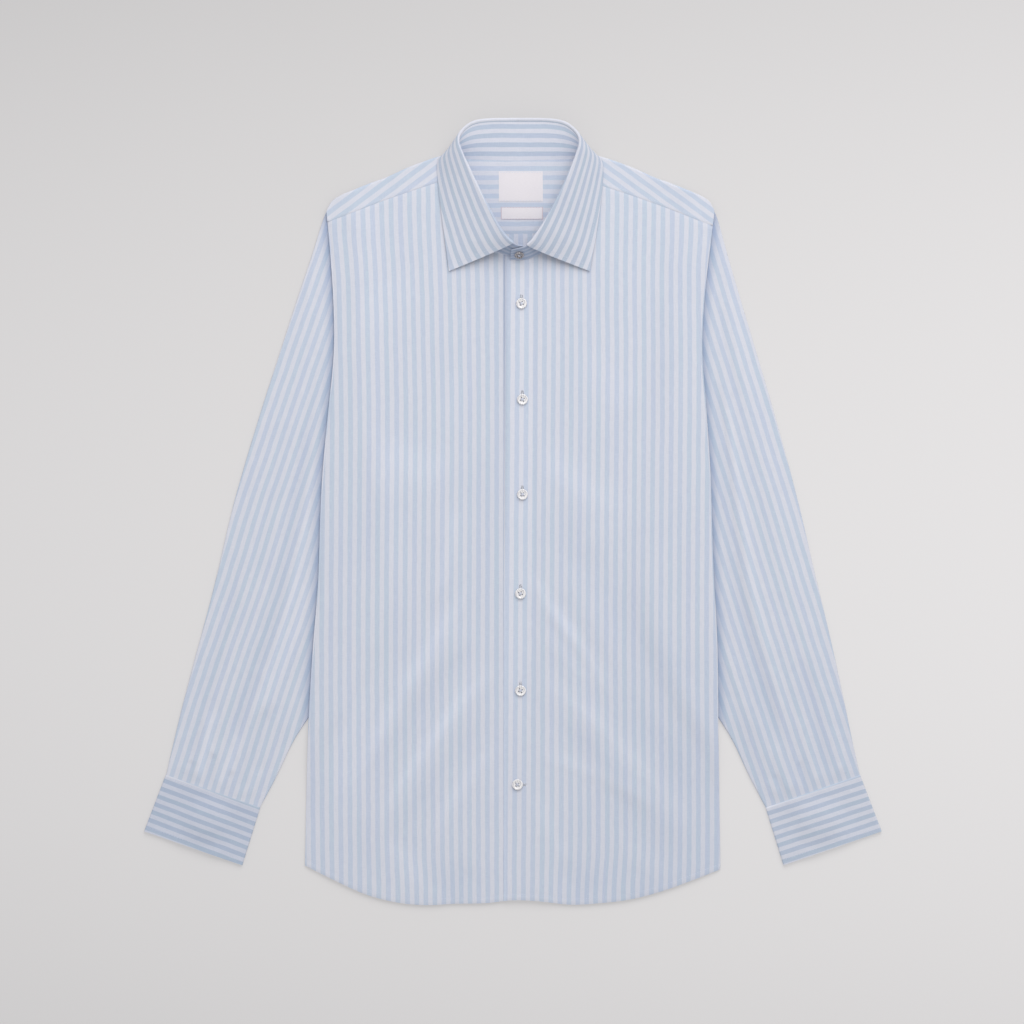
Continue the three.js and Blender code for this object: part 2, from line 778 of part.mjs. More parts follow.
function bandPoint(side, section, share) {
  const { seam, fold } = collarSection(side, section);
  const { rise } = collarDirections(side, section);
  const top = fold.clone().addScaledVector(rise, -ROLL_START - SEAM_GAP);
  return seam.clone().lerp(top, share);
}

// Points over a section of the leaf: up from the band, over the roll and down to its edge
function leafLine(side, section) {
  const fallCount = 5;
  const { fold, edge } = collarSection(side, section);
  const { rise, out } = collarDirections(side, section);
  const around = (up, away) => fold.clone().addScaledVector(rise, up).addScaledVector(out, away);
  const line = [
    around(-ROLL_START, 0),
    around(-ROLL_START * 0.3, ROLL_DEPTH * 0.06),
    around(ROLL_RISE, ROLL_DEPTH * 0.5),
  ];
  const start = around(-ROLL_START * 0.3, ROLL_DEPTH * 0.94);
  const fall = edge.clone().sub(start);
  const drop = rise.clone().multiplyScalar(-0.2 * fall.length());
  drop.y *= 1 - ease((section - LEAF_STRAIGHT) / (LEAF_END - LEAF_STRAIGHT));
  const bend = start.clone().addScaledVector(fall, 0.2).add(drop).addScaledVector(out, LEAF_BELLY);
  const curve = new THREE.QuadraticBezierCurve3(start, bend, edge);
  return line.concat(curve.getPoints(fallCount));
}

// Sections round a collar piece, from the wearer's right front to the left front
function collarSections(end, step) {
  const count = Math.round(end / step);
  const sections = [];
  for (let i = -count; i <= count; i += 1) {
    sections.push({ side: i < 0 ? SIDE_RIGHT : SIDE_LEFT, section: Math.abs(i) * step });
  }
  return sections;
}

function collarBand() {
  const heightCount = 3;
  const grid = collarSections(BAND_END, 0.75).map(({ side, section }) => {
    const line = [];
    for (let i = 0; i <= heightCount; i += 1) {
      line.push(bandPoint(side, section, i / heightCount));
    }
    return line;
  });
  return wallAlong(grid, STIFF_CLOTH);
}

function collarLeaf() {
  const step = LEAF_END / 15;
  const grid = collarSections(LEAF_END, step).map(({ side, section }) => leafLine(side, section));
  return wallAlong(grid, STIFF_CLOTH);
}

function label({ across, y, width, height }) {
  return levelSheet(2, 1, LABEL_CLOTH, (u, v) => {
    const labelY = y + lerp(-height, height, v) / 2;
    const labelX = lean(y) + across + lerp(-width, width, u) / 2;
    return new THREE.Vector3(labelX, labelY, CLOTH + SEAM_GAP);
  });
}

// A button with a raised rim and four holes, its back at the origin and its face up
function buttonShape(diameter) {
  const radius = diameter / 2;
  const dish = 0.6;
  const profile = [
    new THREE.Vector2(0, 0),
    new THREE.Vector2(radius - 0.7, 0),
    new THREE.Vector2(radius, 0.9),
    new THREE.Vector2(radius - 0.4, BUTTON_THICKNESS - 0.2),
    new THREE.Vector2(radius - 1.1, BUTTON_THICKNESS),
    new THREE.Vector2(radius - 2.1, BUTTON_THICKNESS - dish),
    new THREE.Vector2(0, BUTTON_THICKNESS - dish),
  ];
  const disc = new THREE.LatheGeometry(profile, BUTTON_SEGMENTS).rotateX(Math.PI / 2);
  let solid = toManifold(facingOutCopy(disc));
  for (const [x, y] of [[-1, -1], [-1, 1], [1, -1], [1, 1]]) {
    const hole = new THREE.CylinderGeometry(
      BUTTON_HOLE_DIAMETER / 2, BUTTON_HOLE_DIAMETER / 2, 4 * BUTTON_THICKNESS, HOLE_SEGMENTS,
    );
    hole.rotateX(Math.PI / 2);
    hole.translate(x * BUTTON_HOLE_SPACING / 2, y * BUTTON_HOLE_SPACING / 2, 0);
    solid = solid.subtract(toManifold(hole));
  }
  return fromManifold(solid);
}

// A lathed shape with its seam closed and its faces turned out
function facingOutCopy(geometry) {
  const plain = geometry.clone();
  plain.deleteAttribute("normal");
  plain.deleteAttribute("uv");
  const merged = mergeVertices(plain, 1e-4);
  const faces = [];
  const index = merged.index.array;
  for (let i = 0; i < index.length; i += 3) {
    const corners = [index[i], index[i + 1], index[i + 2]];
    if (new Set(corners).size === 3) {
      faces.push(...corners);
    }
  }
  return facingOut(Array.from(merged.attributes.position.array), faces);
}

const stripedCotton = new THREE.MeshStandardMaterial({
  color: new THREE.Color(0.77, 0.81, 0.88),
  roughness: 0.85,
  metalness: 0,
});
const labelWeave = new THREE.MeshStandardMaterial({
  color: new THREE.Color(0.9, 0.89, 0.87),
  roughness: 0.7,
  metalness: 0,
});
const pearl = new THREE.MeshStandardMaterial({
  color: new THREE.Color(0.86, 0.84, 0.8),
  roughness: 0.25,
  metalness: 0,
});

const shirt = new THREE.Group();
shirt.position.set(-BOX_MIDDLE_X, -BOX_MIDDLE_Y, 0);

function addPiece(name, geometry, material) {
  const mesh = new THREE.Mesh(geometry, material);
  mesh.name = name;
  shirt.add(mesh);
  return mesh;
}

addPiece("back", backPanel(), stripedCotton);
addPiece("yoke", yokePiece(), stripedCotton);
addPiece("front_right", frontPanel(SIDE_RIGHT), stripedCotton);
addPiece("front_left", frontPanel(SIDE_LEFT), stripedCotton);
addPiece("collar_band", collarBand(), stripedCotton);
addPiece("collar_leaf", collarLeaf(), stripedCotton);
addPiece("label_main", label(MAIN_LABEL), labelWeave);
addPiece("label_small", label(SMALL_LABEL), labelWeave);

for (const [name, side] of [["right", SIDE_RIGHT], ["left", SIDE_LEFT]]) {
  addPiece(`sleeve_${name}`, sleeve(side), stripedCotton);
  addPiece(`cuff_${name}`, cuff(side), stripedCotton);
}

const frontButton = buttonShape(BUTTON_DIAMETER);
buttonRows.forEach(({ x, y }, i) => {
  const button = addPiece(`button_${i + 1}`, frontButton, pearl);
  const clothTop = frontHeight(x, y) + overlapHeight(x) + CLOTH;
  button.position.set(x, y, clothTop + SEAM_GAP);
});

for (const [name, side] of [["right", SIDE_RIGHT], ["left", SIDE_LEFT]]) {
  const button = addPiece(`button_cuff_${name}`, frontButton, pearl);
  button.rotation.x = Math.PI;
  button.position.copy(cuffButtonPlace(side)).setZ(BUTTON_THICKNESS + BUTTON_CLEAR);
}

// The collar's button sits on the band's lapping end, facing out from the neck
const collarButton = addPiece("button_collar", buttonShape(COLLAR_BUTTON_DIAMETER), pearl);
const { out } = collarDirections(SIDE_LEFT, LEAF_END + 0.5);
collarButton.position.copy(bandPoint(SIDE_LEFT, LEAF_END + 0.5, 0.5));
collarButton.position.addScaledVector(out, STIFF_CLOTH / 2 + SEAM_GAP);
collarButton.quaternion.setFromUnitVectors(new THREE.Vector3(0, 0, 1), out);

export default shirt;
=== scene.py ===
import math

import bpy
import numpy as np
from mathutils import Matrix, Vector


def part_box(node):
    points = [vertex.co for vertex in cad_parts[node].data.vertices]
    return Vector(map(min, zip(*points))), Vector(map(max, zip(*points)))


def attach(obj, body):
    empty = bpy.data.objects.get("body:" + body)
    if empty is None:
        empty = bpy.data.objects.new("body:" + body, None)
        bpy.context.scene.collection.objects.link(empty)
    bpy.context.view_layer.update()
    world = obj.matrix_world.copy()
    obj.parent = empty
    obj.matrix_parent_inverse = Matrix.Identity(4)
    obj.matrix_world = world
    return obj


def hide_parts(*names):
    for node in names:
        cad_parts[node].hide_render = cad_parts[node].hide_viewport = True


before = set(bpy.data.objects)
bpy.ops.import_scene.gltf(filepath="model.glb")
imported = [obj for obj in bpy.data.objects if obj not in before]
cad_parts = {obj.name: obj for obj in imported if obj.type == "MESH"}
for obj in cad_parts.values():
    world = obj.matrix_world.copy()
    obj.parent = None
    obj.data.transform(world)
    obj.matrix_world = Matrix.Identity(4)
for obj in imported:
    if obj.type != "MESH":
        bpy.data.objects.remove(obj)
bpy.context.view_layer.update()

# The looks of a long sleeve dress shirt that lies flat on its back.
# Sizes are in millimetres in the drawing's own coordinates, as in the part's source, and are moved
# to the frame and turned into metres as each mesh is made. Sides are the wearer's: left is +X.

TO_METRES = 0.001
BOX_MIDDLE = np.array([1.43, -0.19, 0.0])
LEFT, RIGHT = 1, -1
SIDE_NAMES = {RIGHT: "right", LEFT: "left"}

# Cloth walls of the solids, and the thinner cloth that is shown
CLOTH = 1.2
STIFF_CLOTH = 1.5
SHOWN_CLOTH = 0.6
SHOWN_STIFF = 1.2
SHOWN_BAND = 0.8
SEAM_GAP = 0.3
LAYER_GAP = 1.6
LAYER_ROUND = 30

# Body
OPENING_X = -7.8
OVERLAP = 36
OVERLAP_EASE = 22
PLACKET = 32
YOKE_BACK_Y = 290.3
YOKE_NECK_Y = 368.2
YOKE_NECK_ACROSS = 75
YOKE_SEAM_SHIFT = 2
SEAM_STEP = 0.6
SEAM_LAP = 0.7
BACK_HEM_RISE = 2
SLAB_LAP = 1.5
INSIDE_SHADE = 0.01
BACK_LOWERED = 0.36
TAIL_Y = -345
TAIL_FALL = 40
SIDE_FOLD = 6
OPENING_ROUND = 3
OPENING_DROP = 1.2
UNDER_DROP = 0.45
EDGE_ROUND = 2.2
YOKE_EDGE_DROP = 0.45
YOKE_EDGE_ROLL = 0.15
HEM_DROP = 0.6
HEM_DEPTH = 6
HEM_GROOVE = 0.35
HEM_GROOVE_HALF = 1.1
SMALL_FOLDS_SHOWN = 0.8
SMALL_FOLDS_ROUND = 25
HOLLOW_SHADE = 0.07
SLEEVE_FOLD_SHADE = 0.05
ARMHOLE_SHADE = 0.5
ARMHOLE_SHADE_WIDTH = 6.5

# Sleeves
SLEEVE_GAP = 0.6
SLEEVE_LOFT = 3.2
SLEEVE_ROUND = 32
SLEEVE_CLEAR = 8
TUCK_LIFT = 2 * CLOTH + SLEEVE_GAP + SEAM_GAP + 0.1
TUCK_RAMP = 30
TUCK_CLEAR = 15
RAMP_SLACK = 1.4
RAMP_SPREAD = 0.65

# Cuffs
CUFF_DEPTH = 61.2
CUFF_WIDTH = 104.5
CUFF_FLARE = 4
CUFF_GAP = 0.4
CUFF_EDGE = STIFF_CLOTH + CUFF_GAP / 2
CUFF_LOW = 1.5 * STIFF_CLOTH + CUFF_GAP
CUFF_HIGH = 2.5 * STIFF_CLOTH + 2 * SEAM_GAP
CUFF_STATIONS = 12
CUFF_STEPS = 5
CUFF_FOLD_STEPS = 9
CUFF_LAP_START = 5
CUFF_LAP_END = 8
CUFF_LAP_FALL = 3
CUFF_SLANT = math.radians(19.1)
CUFF_BUTTON_DEPTH = 30.9
CUFF_BUTTON_ROUND = 24
CUFF_BUTTON_RISE = 2.6
CUFF_OVERLAP = 1.6
# Painted shade on each cuff, and a painted highlight along its seam edge with how far in it reaches
CUFF_SHADE = {RIGHT: 0.17, LEFT: 0.06}
CUFF_SEAM_HIGHLIGHT = 0.3
CUFF_SEAM_WIDTH = 2.6
SLEEVE_IN_CUFF = 0.45

# Collar
ROLL_START = 2.8
ROLL_RADIUS = 1
BAND_SINK = 0.9
BACK_SINK = 3.0
LAP_SHIFT = 1.2
LEAF_BELLY = 3
LEAF_STRAIGHT = 8.5
LEAF_END = 11
BAND_END = 12
BAND_STRIPES = (3.55, -0.55)
BAND_SHADE = (-0.25, 0.4)
LEAF_SHADE = {RIGHT: -0.04, LEFT: 0.02}
TOP_OF_ROLL = 6

# Buttons and thread
BUTTON_DIAMETER = 11.4
BUTTON_THICKNESS = 2.2
BUTTON_HOLE = 1.5
BUTTON_HOLE_SPACING = 2.7
STITCH = 2.3
STITCH_SPACING = 2.9
THREAD_RADIUS = 0.17
STITCH_INSET = 5
SEAM_STITCH_ROW = 1.6
COLLAR_BUTTON_DIAMETER = 10
BUTTONHOLE_LENGTH = 14
BUTTONHOLE_WIDTH = 2.6
BUTTONHOLE_SHIFT = 2.6
BUTTONHOLE_THREAD = 0.13
BUTTON_THREAD = 0.24

# Stripes: one light blue and one white stripe take up this width of cloth
STRIPE_PERIOD = 9.5
SLEEVE_PERIOD = 9.36
SLEEVE_SLANT = math.cos(math.radians(14))
WEAVE_PITCH = 0.5
RIB_PITCH = 0.35

# The camera looks straight down; the width is what the picture takes in at the floor
IMAGE_WIDTH = 1065.0
CAMERA_HEIGHT = 8000.0
CAMERA_CENTRE = (0.52, -0.52)
SENSOR_WIDTH = 36

# The lights: a pale even sky, and one large softbox by its place in metres
SKY_COLOUR = (0.96, 0.968, 0.988, 1)
SKY_STRENGTH = 0.665
KEY_LIGHT = {"place": (0.5, 2.0, 2.2), "size": 2.4, "power": 53.5}


def table(names, *values):
    """A table with named columns."""
    return dict(zip(names.split(), np.array(values, float).T))


# The middle line: how far it leans to the wearer's left at each height
MIDDLE = table(
    "y lean",
    (-409, 1), (-240, 1.7), (-200, 2.4), (-100, 4.6), (0, 4.8), (115, 6.2), (219, 7.6),
    (300, 9.2), (350, 9.1), (378, 8.1), (408, 7),
)

# Half the body's width, from the middle line to the side seam or the armhole
BODY = table(
    "y half",
    (-368, 215.8), (-240, 213.4), (-144, 210.3), (-67, 205.4), (32, 202), (115, 195.5),
    (146, 192.6), (178, 191.2), (219, 192.7), (257, 195.8), (310, 201.5),
)

# The shirt tail's hem, from the wearer's right side to the left
HEM = table(
    "across y",
    (-215.8, -368.2), (-184.6, -383.8), (-153.4, -397.8), (-122.2, -406.1), (-91, -409.2),
    (-59.6, -407.8), (-28, -407.2), (0, -404.2), (25, -405), (60, -408.7), (91, -407.2),
    (122, -403.4), (153.4, -395.4), (184.4, -384.4), (215.8, -372.2),
)

# The shoulder fold, where the yoke turns from the back over to the front
SHOULDER = table(
    "across y",
    (70, 371), (82, 369.7), (100, 364), (116, 358), (141, 346.8), (152, 343), (173, 334.6),
    (188, 328), (196.5, 321.8), (201.5, 313),
)

# The seam between the yoke and each front
YOKE_SEAM = table(
    "across y",
    (73, 345.4), (90, 339.8), (124, 328.4), (145, 321), (166, 312.9), (185, 305.5),
    (199.5, 300.5),
)

# The fronts' neckline, from the middle to the yoke seam
NECK = table(
    "across y",
    (0, 264.2), (20, 268.3), (38, 279), (52.5, 301), (64, 322), (73, 345.4),
)

# How far in, under the body, each sleeve's hidden edge lies
TUCK = table(
    "y half",
    (-309, 263.5), (-276, 246), (-238, 227.8), (-203, 206), (-148, 177), (-92, 160), (-38, 157),
    (18, 164), (66, 176), (92, 181), (180, 182), (240, 185), (290, 190), (310, 196),
)

# Sections of a sleeve from the armhole to the cuff: its outer edge, the height where the section
# meets the inner edge, and how far the section bows towards the body
SLEEVE = table(
    "section outer outer_y inner_y bow",
    (-0.3, 197.5, 314, 98, 6.5),
    (0, 203.2, 309, 92, 6.5), (1, 217.9, 261, 66, 4), (2, 243.9, 178, 18, 1.5),
    (3, 269.4, 94.6, -38, 0), (4, 292.8, 11.4, -92, 0), (5, 312.5, -71.8, -148, 0),
    (6, 333.3, -155, -203, 0), (7, 343.2, -196.6, -238, 0), (8, 352.6, -238.2, -276, 0),
    (9, 361, -275.2, -309, 0),
)
FIRST_SECTION = -0.3
LAST_SECTION = 9

# The collar from the back's middle to the front: neck seam, fold and the leaf's outer edge
COLLAR_SEAM = table(
    "section across y z",
    (0, 0, 367.4, 2.1), (1, 28, 367.8, 2.1), (2, 45, 368.2, 2.1), (3, 57, 368.6, 2.3),
    (4, 66, 369, 3), (5, 73.5, 369.3, 4.5), (6, 76.5, 365, 4.7), (7, 73, 345, 4.7),
    (8, 64, 322, 4.9), (9, 52.5, 301, 5.2), (10, 38, 279, 5.8), (11, 10, 264.8, 6.6),
    (12, -10, 263.6, 6.8),
)
COLLAR_FOLD = table(
    "section across y z",
    (0, 0, 407, 23), (1, 30, 406.6, 23), (2, 45.5, 404.2, 23), (3, 54.6, 398.8, 23),
    (4, 60.6, 391.2, 23), (5, 62, 383.4, 23.5), (6, 60, 375, 24), (7, 51.5, 354.6, 24.5),
    (8, 41.9, 333.8, 25), (9, 31.2, 313, 25.5), (10, 19, 292.2, 26), (11, 7.1, 278.7, 26),
    (12, -9, 274.4, 20.5),
)
COLLAR_EDGE = table(
    "section across y z",
    (0, 0, 371.5, 1), (1, 31, 371.6, 1), (2, 49, 372.5, 1.2), (3, 63, 374.5, 2),
    (4, 72, 375, 3.6), (5, 79.3, 371, 5), (6, 85.5, 362, 4.7), (7, 85.2, 340, 4.8),
    (8, 82.4, 314.5, 5.3), (9, 78.7, 287, 5.5), (10, 75.6, 267, 5.6), (11, 73.2, 249.8, 5.6),
)

# Stripes counted from the leaf's fold, at the fold and at the outer edge: they run a little
# across the fold, so that one more starts towards the front
LEAF_STRIPES = table(
    "section right_fold right_edge left_fold left_edge",
    (0, 0.5, 5, 0.5, 5), (4, 0.6, 5.1, 0.5, 5.1), (6, 0.7, 5.55, 0.45, 5.7),
    (7, 0.47, 5.9, 0.25, 6.15), (8, 0.28, 6.32, 0.05, 6.4), (9, 0.1, 6.82, -0.22, 6.63),
    (10, -0.02, 7.1, -0.45, 6.8), (11, -0.2, 7.4, -0.65, 7.1),
)

# How far the fronts' stripes wander towards the wearer's left at each height
WANDER = table(
    "y right left",
    (-395, 2, 1), (-342, 1.4, 1.8), (-249, 0.9, 0.9), (-145, 0.6, -0.5), (-41, 1.2, -0.8),
    (63, 1.9, -0.6), (115, 1.8, -0.5), (167, 0.8, -0.7), (219, -0.2, -1.5), (256, -1.4, -1.8),
    (290, -3, -1.6), (340, -4, -1.6),
)

# How far the first blue stripe lies from each sleeve's outer edge, by height
SLEEVE_STRIPES = table(
    "y right left",
    (-300, -15, -18.8), (-238, -9.8, -11.6), (-145, -3.7, -1.2), (-41, 4.4, 6.4),
    (63, 10, 12.3), (167, 12.6, 14.7), (261, 14.5, 15.5), (320, 15.6, 16.6),
)

# Stripes down the fronts: their spacing, where a blue one lies and how far they slant
FRONT_STRIPES = {RIGHT: (9.59, -15.7, 0), LEFT: (9.47, 5.1, 0.0058)}

# Stripes on the yoke: their spacing and where a blue one lies, and on the shoulders their slope too
SLAB_STRIPES = (9.6, 366.3)
YOKE_STRIPES = {RIGHT: (9.8, 9.39, 37), LEFT: (9.2, 8.19, 36)}

# Stripes across the cuffs: where the first blue one lies and how far the stripes tilt
CUFF_STRIPES = {RIGHT: (6, 0.028), LEFT: (6, -0.02)}
CUFF_STRIPE_PERIOD = 8.73

# Soft ridges (and troughs, where the height is negative) on the fronts: both ends, half width,
# height and how far the line bows to its left
FRONT_FOLDS = table(
    "x y end_x end_y half height bow",
    (44, -45, 118, -170, 15, 1.3, 0), (36, -118, 100, -250, 14, 1.4, 0),
    (88, -235, 190, -358, 17, 1.4, 0), (50, -205, 150, -318, 13, 1.2, 0),
    (40, 60, 96, -60, 18, 0.8, 0), (-52, 10, -82, -110, 17, 0.8, 0),
    (-40, -115, -128, -205, 15, 1.3, 0), (-26, -150, -92, -285, 14, 1.4, 0),
    (-66, -250, -160, -362, 16, 1.4, 0),
)
SMALL_FOLDS = table(
    "x y end_x end_y half height bow",
    (-32, -62, -176, -304, 9, 0.9, 5), (-6, -150, -154, -340, 8, 1, 6),
    (-9, -236, -88, -344, 8, 0.7, 4), (-26, -120, -152, -292, 8.8, -0.6, 6),
    (-14, -206, -122, -340, 7.5, -0.52, 5), (-30, 92, -36, -150, 12.5, -0.45, -3),
    (-142, 74, -56, 36, 22, 0.8, 8), (-120, 30, -170, -70, 20, -0.38, 8),
    (-150, -150, -180, -334, 18, 0.6, 6), (-36, -368, -82, -404, 18.8, -0.9, 0),
    (-146, -336, -86, -398, 11, 0.6, -4), (-60, 12, -82, -98, 8, 0.5, -4),
    (-44, -176, -84, -250, 5, 0.4, 3), (-88, 236, -170, 176, 20, 0.35, 12),
    (-104, -250, -168, -352, 8.8, -0.38, -4), (-50, 150, -64, 70, 14, 0.35, 3),
    (14, -56, 76, -146, 7, 0.85, 3), (34, -92, 112, -206, 6.5, 0.75, -4),
    (26, -96, 84, -176, 6.2, -0.52, 2), (14, -160, 190, -334, 9, 1, -9),
    (20, -134, 108, -224, 8.8, -0.6, -4), (18, -248, 172, -322, 8, 0.8, -7),
    (24, -206, 132, -296, 7.5, -0.45, -6), (106, -186, 192, -306, 12.5, -0.52, -6),
    (34, 14, 204, -206, 22.5, -0.6, 12), (18, 72, 128, -4, 15, 0.6, 9),
    (188, 190, 92, 62, 12.5, -0.3, -6), (46, -366, 92, -402, 18.8, -0.9, 0),
    (104, -330, 168, -382, 11, 0.5, 5), (22, -290, 66, -372, 8, 0.5, 4),
    (64, 168, 150, 108, 20, 0.4, 10), (20, -20, 30, -330, 11.2, -0.3, 3),
    (176, 40, 192, -110, 15, -0.26, 7),
)

# Folds along the sleeves: side, ends by section, place across from the outer edge (0) to the
# inner edge (1) at each end, half width and height
SLEEVE_FOLDS = table(
    "side start end at_start at_end half height",
    (RIGHT, 1.4, 8.2, 0.36, 0.52, 8, -2), (RIGHT, 4.5, 8.8, 0.14, 0.2, 7, -1.1),
    (RIGHT, 6.2, 9, 0.68, 0.74, 7, -1.2), (LEFT, 1.4, 7.9, 0.42, 0.66, 8, -2),
    (LEFT, 5.6, 9, 0.24, 0.3, 8, -1.2),
    (RIGHT, 0.6, 5.2, 0.2, 0.26, 8, -0.6), (RIGHT, 2.6, 7, 0.6, 0.66, 6, 0.8),
    (RIGHT, 1.2, 7.4, 0.46, 0.6, 6, 0.9), (RIGHT, 6.9, 9.1, 0.24, 0.34, 7, 1),
    (RIGHT, 7.9, 9.1, 0.38, 0.44, 4.5, -1.3), (RIGHT, 7.2, 9.1, 0.54, 0.56, 6, 0.8),
    (RIGHT, 7.9, 9.1, 0.84, 0.82, 6, 0.6), (RIGHT, 8.3, 9.1, 0.22, 0.22, 4, -1),
    (RIGHT, 8.2, 9.1, 0.6, 0.62, 4, -1),
    (LEFT, 0.6, 5.8, 0.22, 0.3, 8, -0.6), (LEFT, 2.2, 7.2, 0.64, 0.8, 6, 0.8),
    (LEFT, 1.6, 7.6, 0.32, 0.54, 6, 0.9), (LEFT, 7.4, 9.1, 0.14, 0.16, 6, 0.6),
    (LEFT, 6.9, 9.1, 0.4, 0.43, 6, 0.8), (LEFT, 8, 9.1, 0.52, 0.56, 4.5, -1),
    (LEFT, 7.3, 9.1, 0.68, 0.7, 6, 0.7), (LEFT, 8.2, 9.1, 0.86, 0.84, 5, 0.5),
    (LEFT, 8.1, 9.1, 0.78, 0.78, 3.5, -0.8),
)

# Labels inside the yoke
MAIN_LABEL = {"across": 0.5, "y": 338, "width": 45.8, "height": 31.2}
SMALL_LABEL = {"across": 1.6, "y": 310.2, "width": 43.7, "height": 13}
LABEL_CLOTH = 0.3
LABEL_LIFT = 0.08


def sheet(width, length, wall, offset, *rests_on):
    """A row of the sheets' table. Offset 0 puts half the wall above its points, and -1 none."""
    return {
        "width": width, "length": length, "wall": wall, "offset": offset, "rests_on": list(rests_on),
    }


# Each sheet's flat width and length, its wall and what it rests on
SHEETS = {
    "back": sheet(433, 697, SHOWN_CLOTH, -1, "sleeve_right", "sleeve_left"),
    "yoke": sheet(425, 150, SHOWN_CLOTH, 0, "back"),
    "front_right": sheet(244, 757, SHOWN_CLOTH, -1, "back"),
    "front_left": sheet(226, 757, SHOWN_CLOTH, -1, "back", "front_right"),
    "collar_band": sheet(430, 42, SHOWN_BAND, 0, "yoke", "front_right", "front_left"),
    "collar_leaf": sheet(480, 82, SHOWN_STIFF, 0, "collar_band", "front_right", "front_left"),
    "label_main": sheet(MAIN_LABEL["width"], MAIN_LABEL["height"], LABEL_CLOTH, -1, "yoke"),
    "label_small": sheet(SMALL_LABEL["width"], SMALL_LABEL["height"], LABEL_CLOTH, -1, "yoke"),
    "sleeve_right": sheet(440, 640, SHOWN_CLOTH, -1, "back"),
    "sleeve_left": sheet(440, 640, SHOWN_CLOTH, -1, "back"),
    "cuff_right": sheet(236, CUFF_DEPTH, SHOWN_STIFF, 0, "sleeve_right"),
    "cuff_left": sheet(236, CUFF_DEPTH, SHOWN_STIFF, 0, "sleeve_left"),
}


# Reading the tables

def read(rows, by, at, column):
    """One column of a table at any places between its rows, along a smooth curve."""
    places, values = rows[by], rows[column]
    last = len(places) - 1
    before = np.maximum(np.arange(last + 1) - 1, 0)
    after = np.minimum(np.arange(last + 1) + 1, last)
    slopes = (values[after] - values[before]) / (places[after] - places[before])
    at = np.asarray(at, float)
    low = np.searchsorted(places[1:-1], at, side="left")
    span = places[low + 1] - places[low]
    t = np.clip((at - places[low]) / span, 0, 1)
    return (
        (1 + 2 * t) * (1 - t) ** 2 * values[low]
        + t * (1 - t) ** 2 * span * slopes[low]
        + t * t * (3 - 2 * t) * values[low + 1]
        + t * t * (t - 1) * span * slopes[low + 1]
    )


def rows_of(rows):
    """Each row of a table, by the names of its columns."""
    return [dict(zip(rows, values)) for values in zip(*rows.values())]


def ease(value):
    t = np.clip(value, 0, 1)
    return t * t * (3 - 2 * t)


def lerp(low, high, share):
    return low + (high - low) * share


def lean(y):
    return read(MIDDLE, "y", y, "lean")


def body_half(y):
    return read(BODY, "y", y, "half")


def tuck_half(y):
    return read(TUCK, "y", y, "half")


def unit(vectors):
    return vectors / np.linalg.norm(vectors, axis=-1, keepdims=True)


def ridge(off, half):
    """A smooth ridge, 1 high in its middle."""
    return np.exp(-((off / half) ** 2))


def from_middle(x, y):
    return np.abs(x - lean(y))


def from_side(x, y):
    """How far in from the body's side a place lies."""
    return body_half(y) - from_middle(x, y)


# Heights of the body's layers, as the solids have them

def ramp_share(x, y):
    """How far a place has come up the ramp over a tucked sleeve: 0 at its foot, 1 at its top."""
    return (from_middle(x, y) + TUCK_CLEAR - tuck_half(y)) / TUCK_RAMP + 1


def back_height(x, y):
    return TUCK_LIFT * ease(ramp_share(x, y))


def fold_height(x, y, folds):
    """Height of a table of soft ridges, each along a bowed line with tapering ends."""
    height = np.zeros_like(x)
    for row in rows_of(folds):
        run_x, run_y = row["end_x"] - row["x"], row["end_y"] - row["y"]
        length = np.hypot(run_x, run_y)
        away_x, away_y = x - row["x"], y - row["y"]
        along = (away_x * run_x + away_y * run_y) / length**2
        off = (away_x * run_y - away_y * run_x) / length
        off = off - row["bow"] * 4 * along * (1 - along)
        taper = ease(along / 0.3) * ease((1 - along) / 0.3)
        height = height + row["height"] * taper * ridge(off, row["half"])
    return height


def front_height(x, y):
    """Height of the fronts' underside, above the back."""
    inside = ease(from_side(x, y) / LAYER_ROUND)
    air = lerp(SEAM_GAP, LAYER_GAP + fold_height(x, y, FRONT_FOLDS), inside)
    slack = RAMP_SLACK * ridge(ramp_share(x, y) - 0.5, RAMP_SPREAD)
    return back_height(x, y) + CLOTH + air + slack


def overlap_height(x):
    """How far the wearer's left front is raised where it lies on the right one."""
    past = (x - OPENING_X - OVERLAP - 2) / OVERLAP_EASE
    return (CLOTH + SEAM_GAP) * (1 - ease(past))


def edge_drop(distance, width, drop):
    """How far a rounded edge falls at a distance in from it."""
    inner = np.clip(1 - distance / width, 0, 1)
    return drop * (1 - np.sqrt(1 - inner**2))


def body_side_drop(x, y):
    """Both layers of the body close in a soft fold at the side."""
    distance = np.clip(from_side(x, y), 0, None)
    return edge_drop(distance, SIDE_FOLD, CLOTH + SEAM_GAP / 2)


# Making meshes

def to_frame(points):
    return (np.asarray(points, float) - BOX_MIDDLE) * TO_METRES


def add_object(name, data):
    """Puts an object into the scene."""
    added = bpy.data.objects.new(name, data)
    bpy.context.scene.collection.objects.link(added)
    return added


def smooth(mesh):
    mesh.polygons.foreach_set("use_smooth", np.ones(len(mesh.polygons), bool))


def make_object(name, points, faces, uv=None):
    """A mesh from points in the drawing, four-cornered faces and a UV for each point."""
    mesh = bpy.data.meshes.new(name)
    mesh.vertices.add(len(points))
    mesh.vertices.foreach_set("co", to_frame(points).astype(np.float32).ravel())
    faces = np.asarray(faces, np.int32)
    sides = faces.shape[1]
    mesh.loops.add(faces.size)
    mesh.loops.foreach_set("vertex_index", faces.ravel())
    mesh.polygons.add(len(faces))
    mesh.polygons.foreach_set("loop_start", np.arange(0, faces.size, sides, dtype=np.int32))
    if uv is not None:
        layer = mesh.uv_layers.new(name="cloth")
        layer.data.foreach_set("uv", np.asarray(uv, np.float32)[faces.ravel()].ravel())
    mesh.update()
    mesh.validate()
    smooth(mesh)
    return add_object(name, mesh)


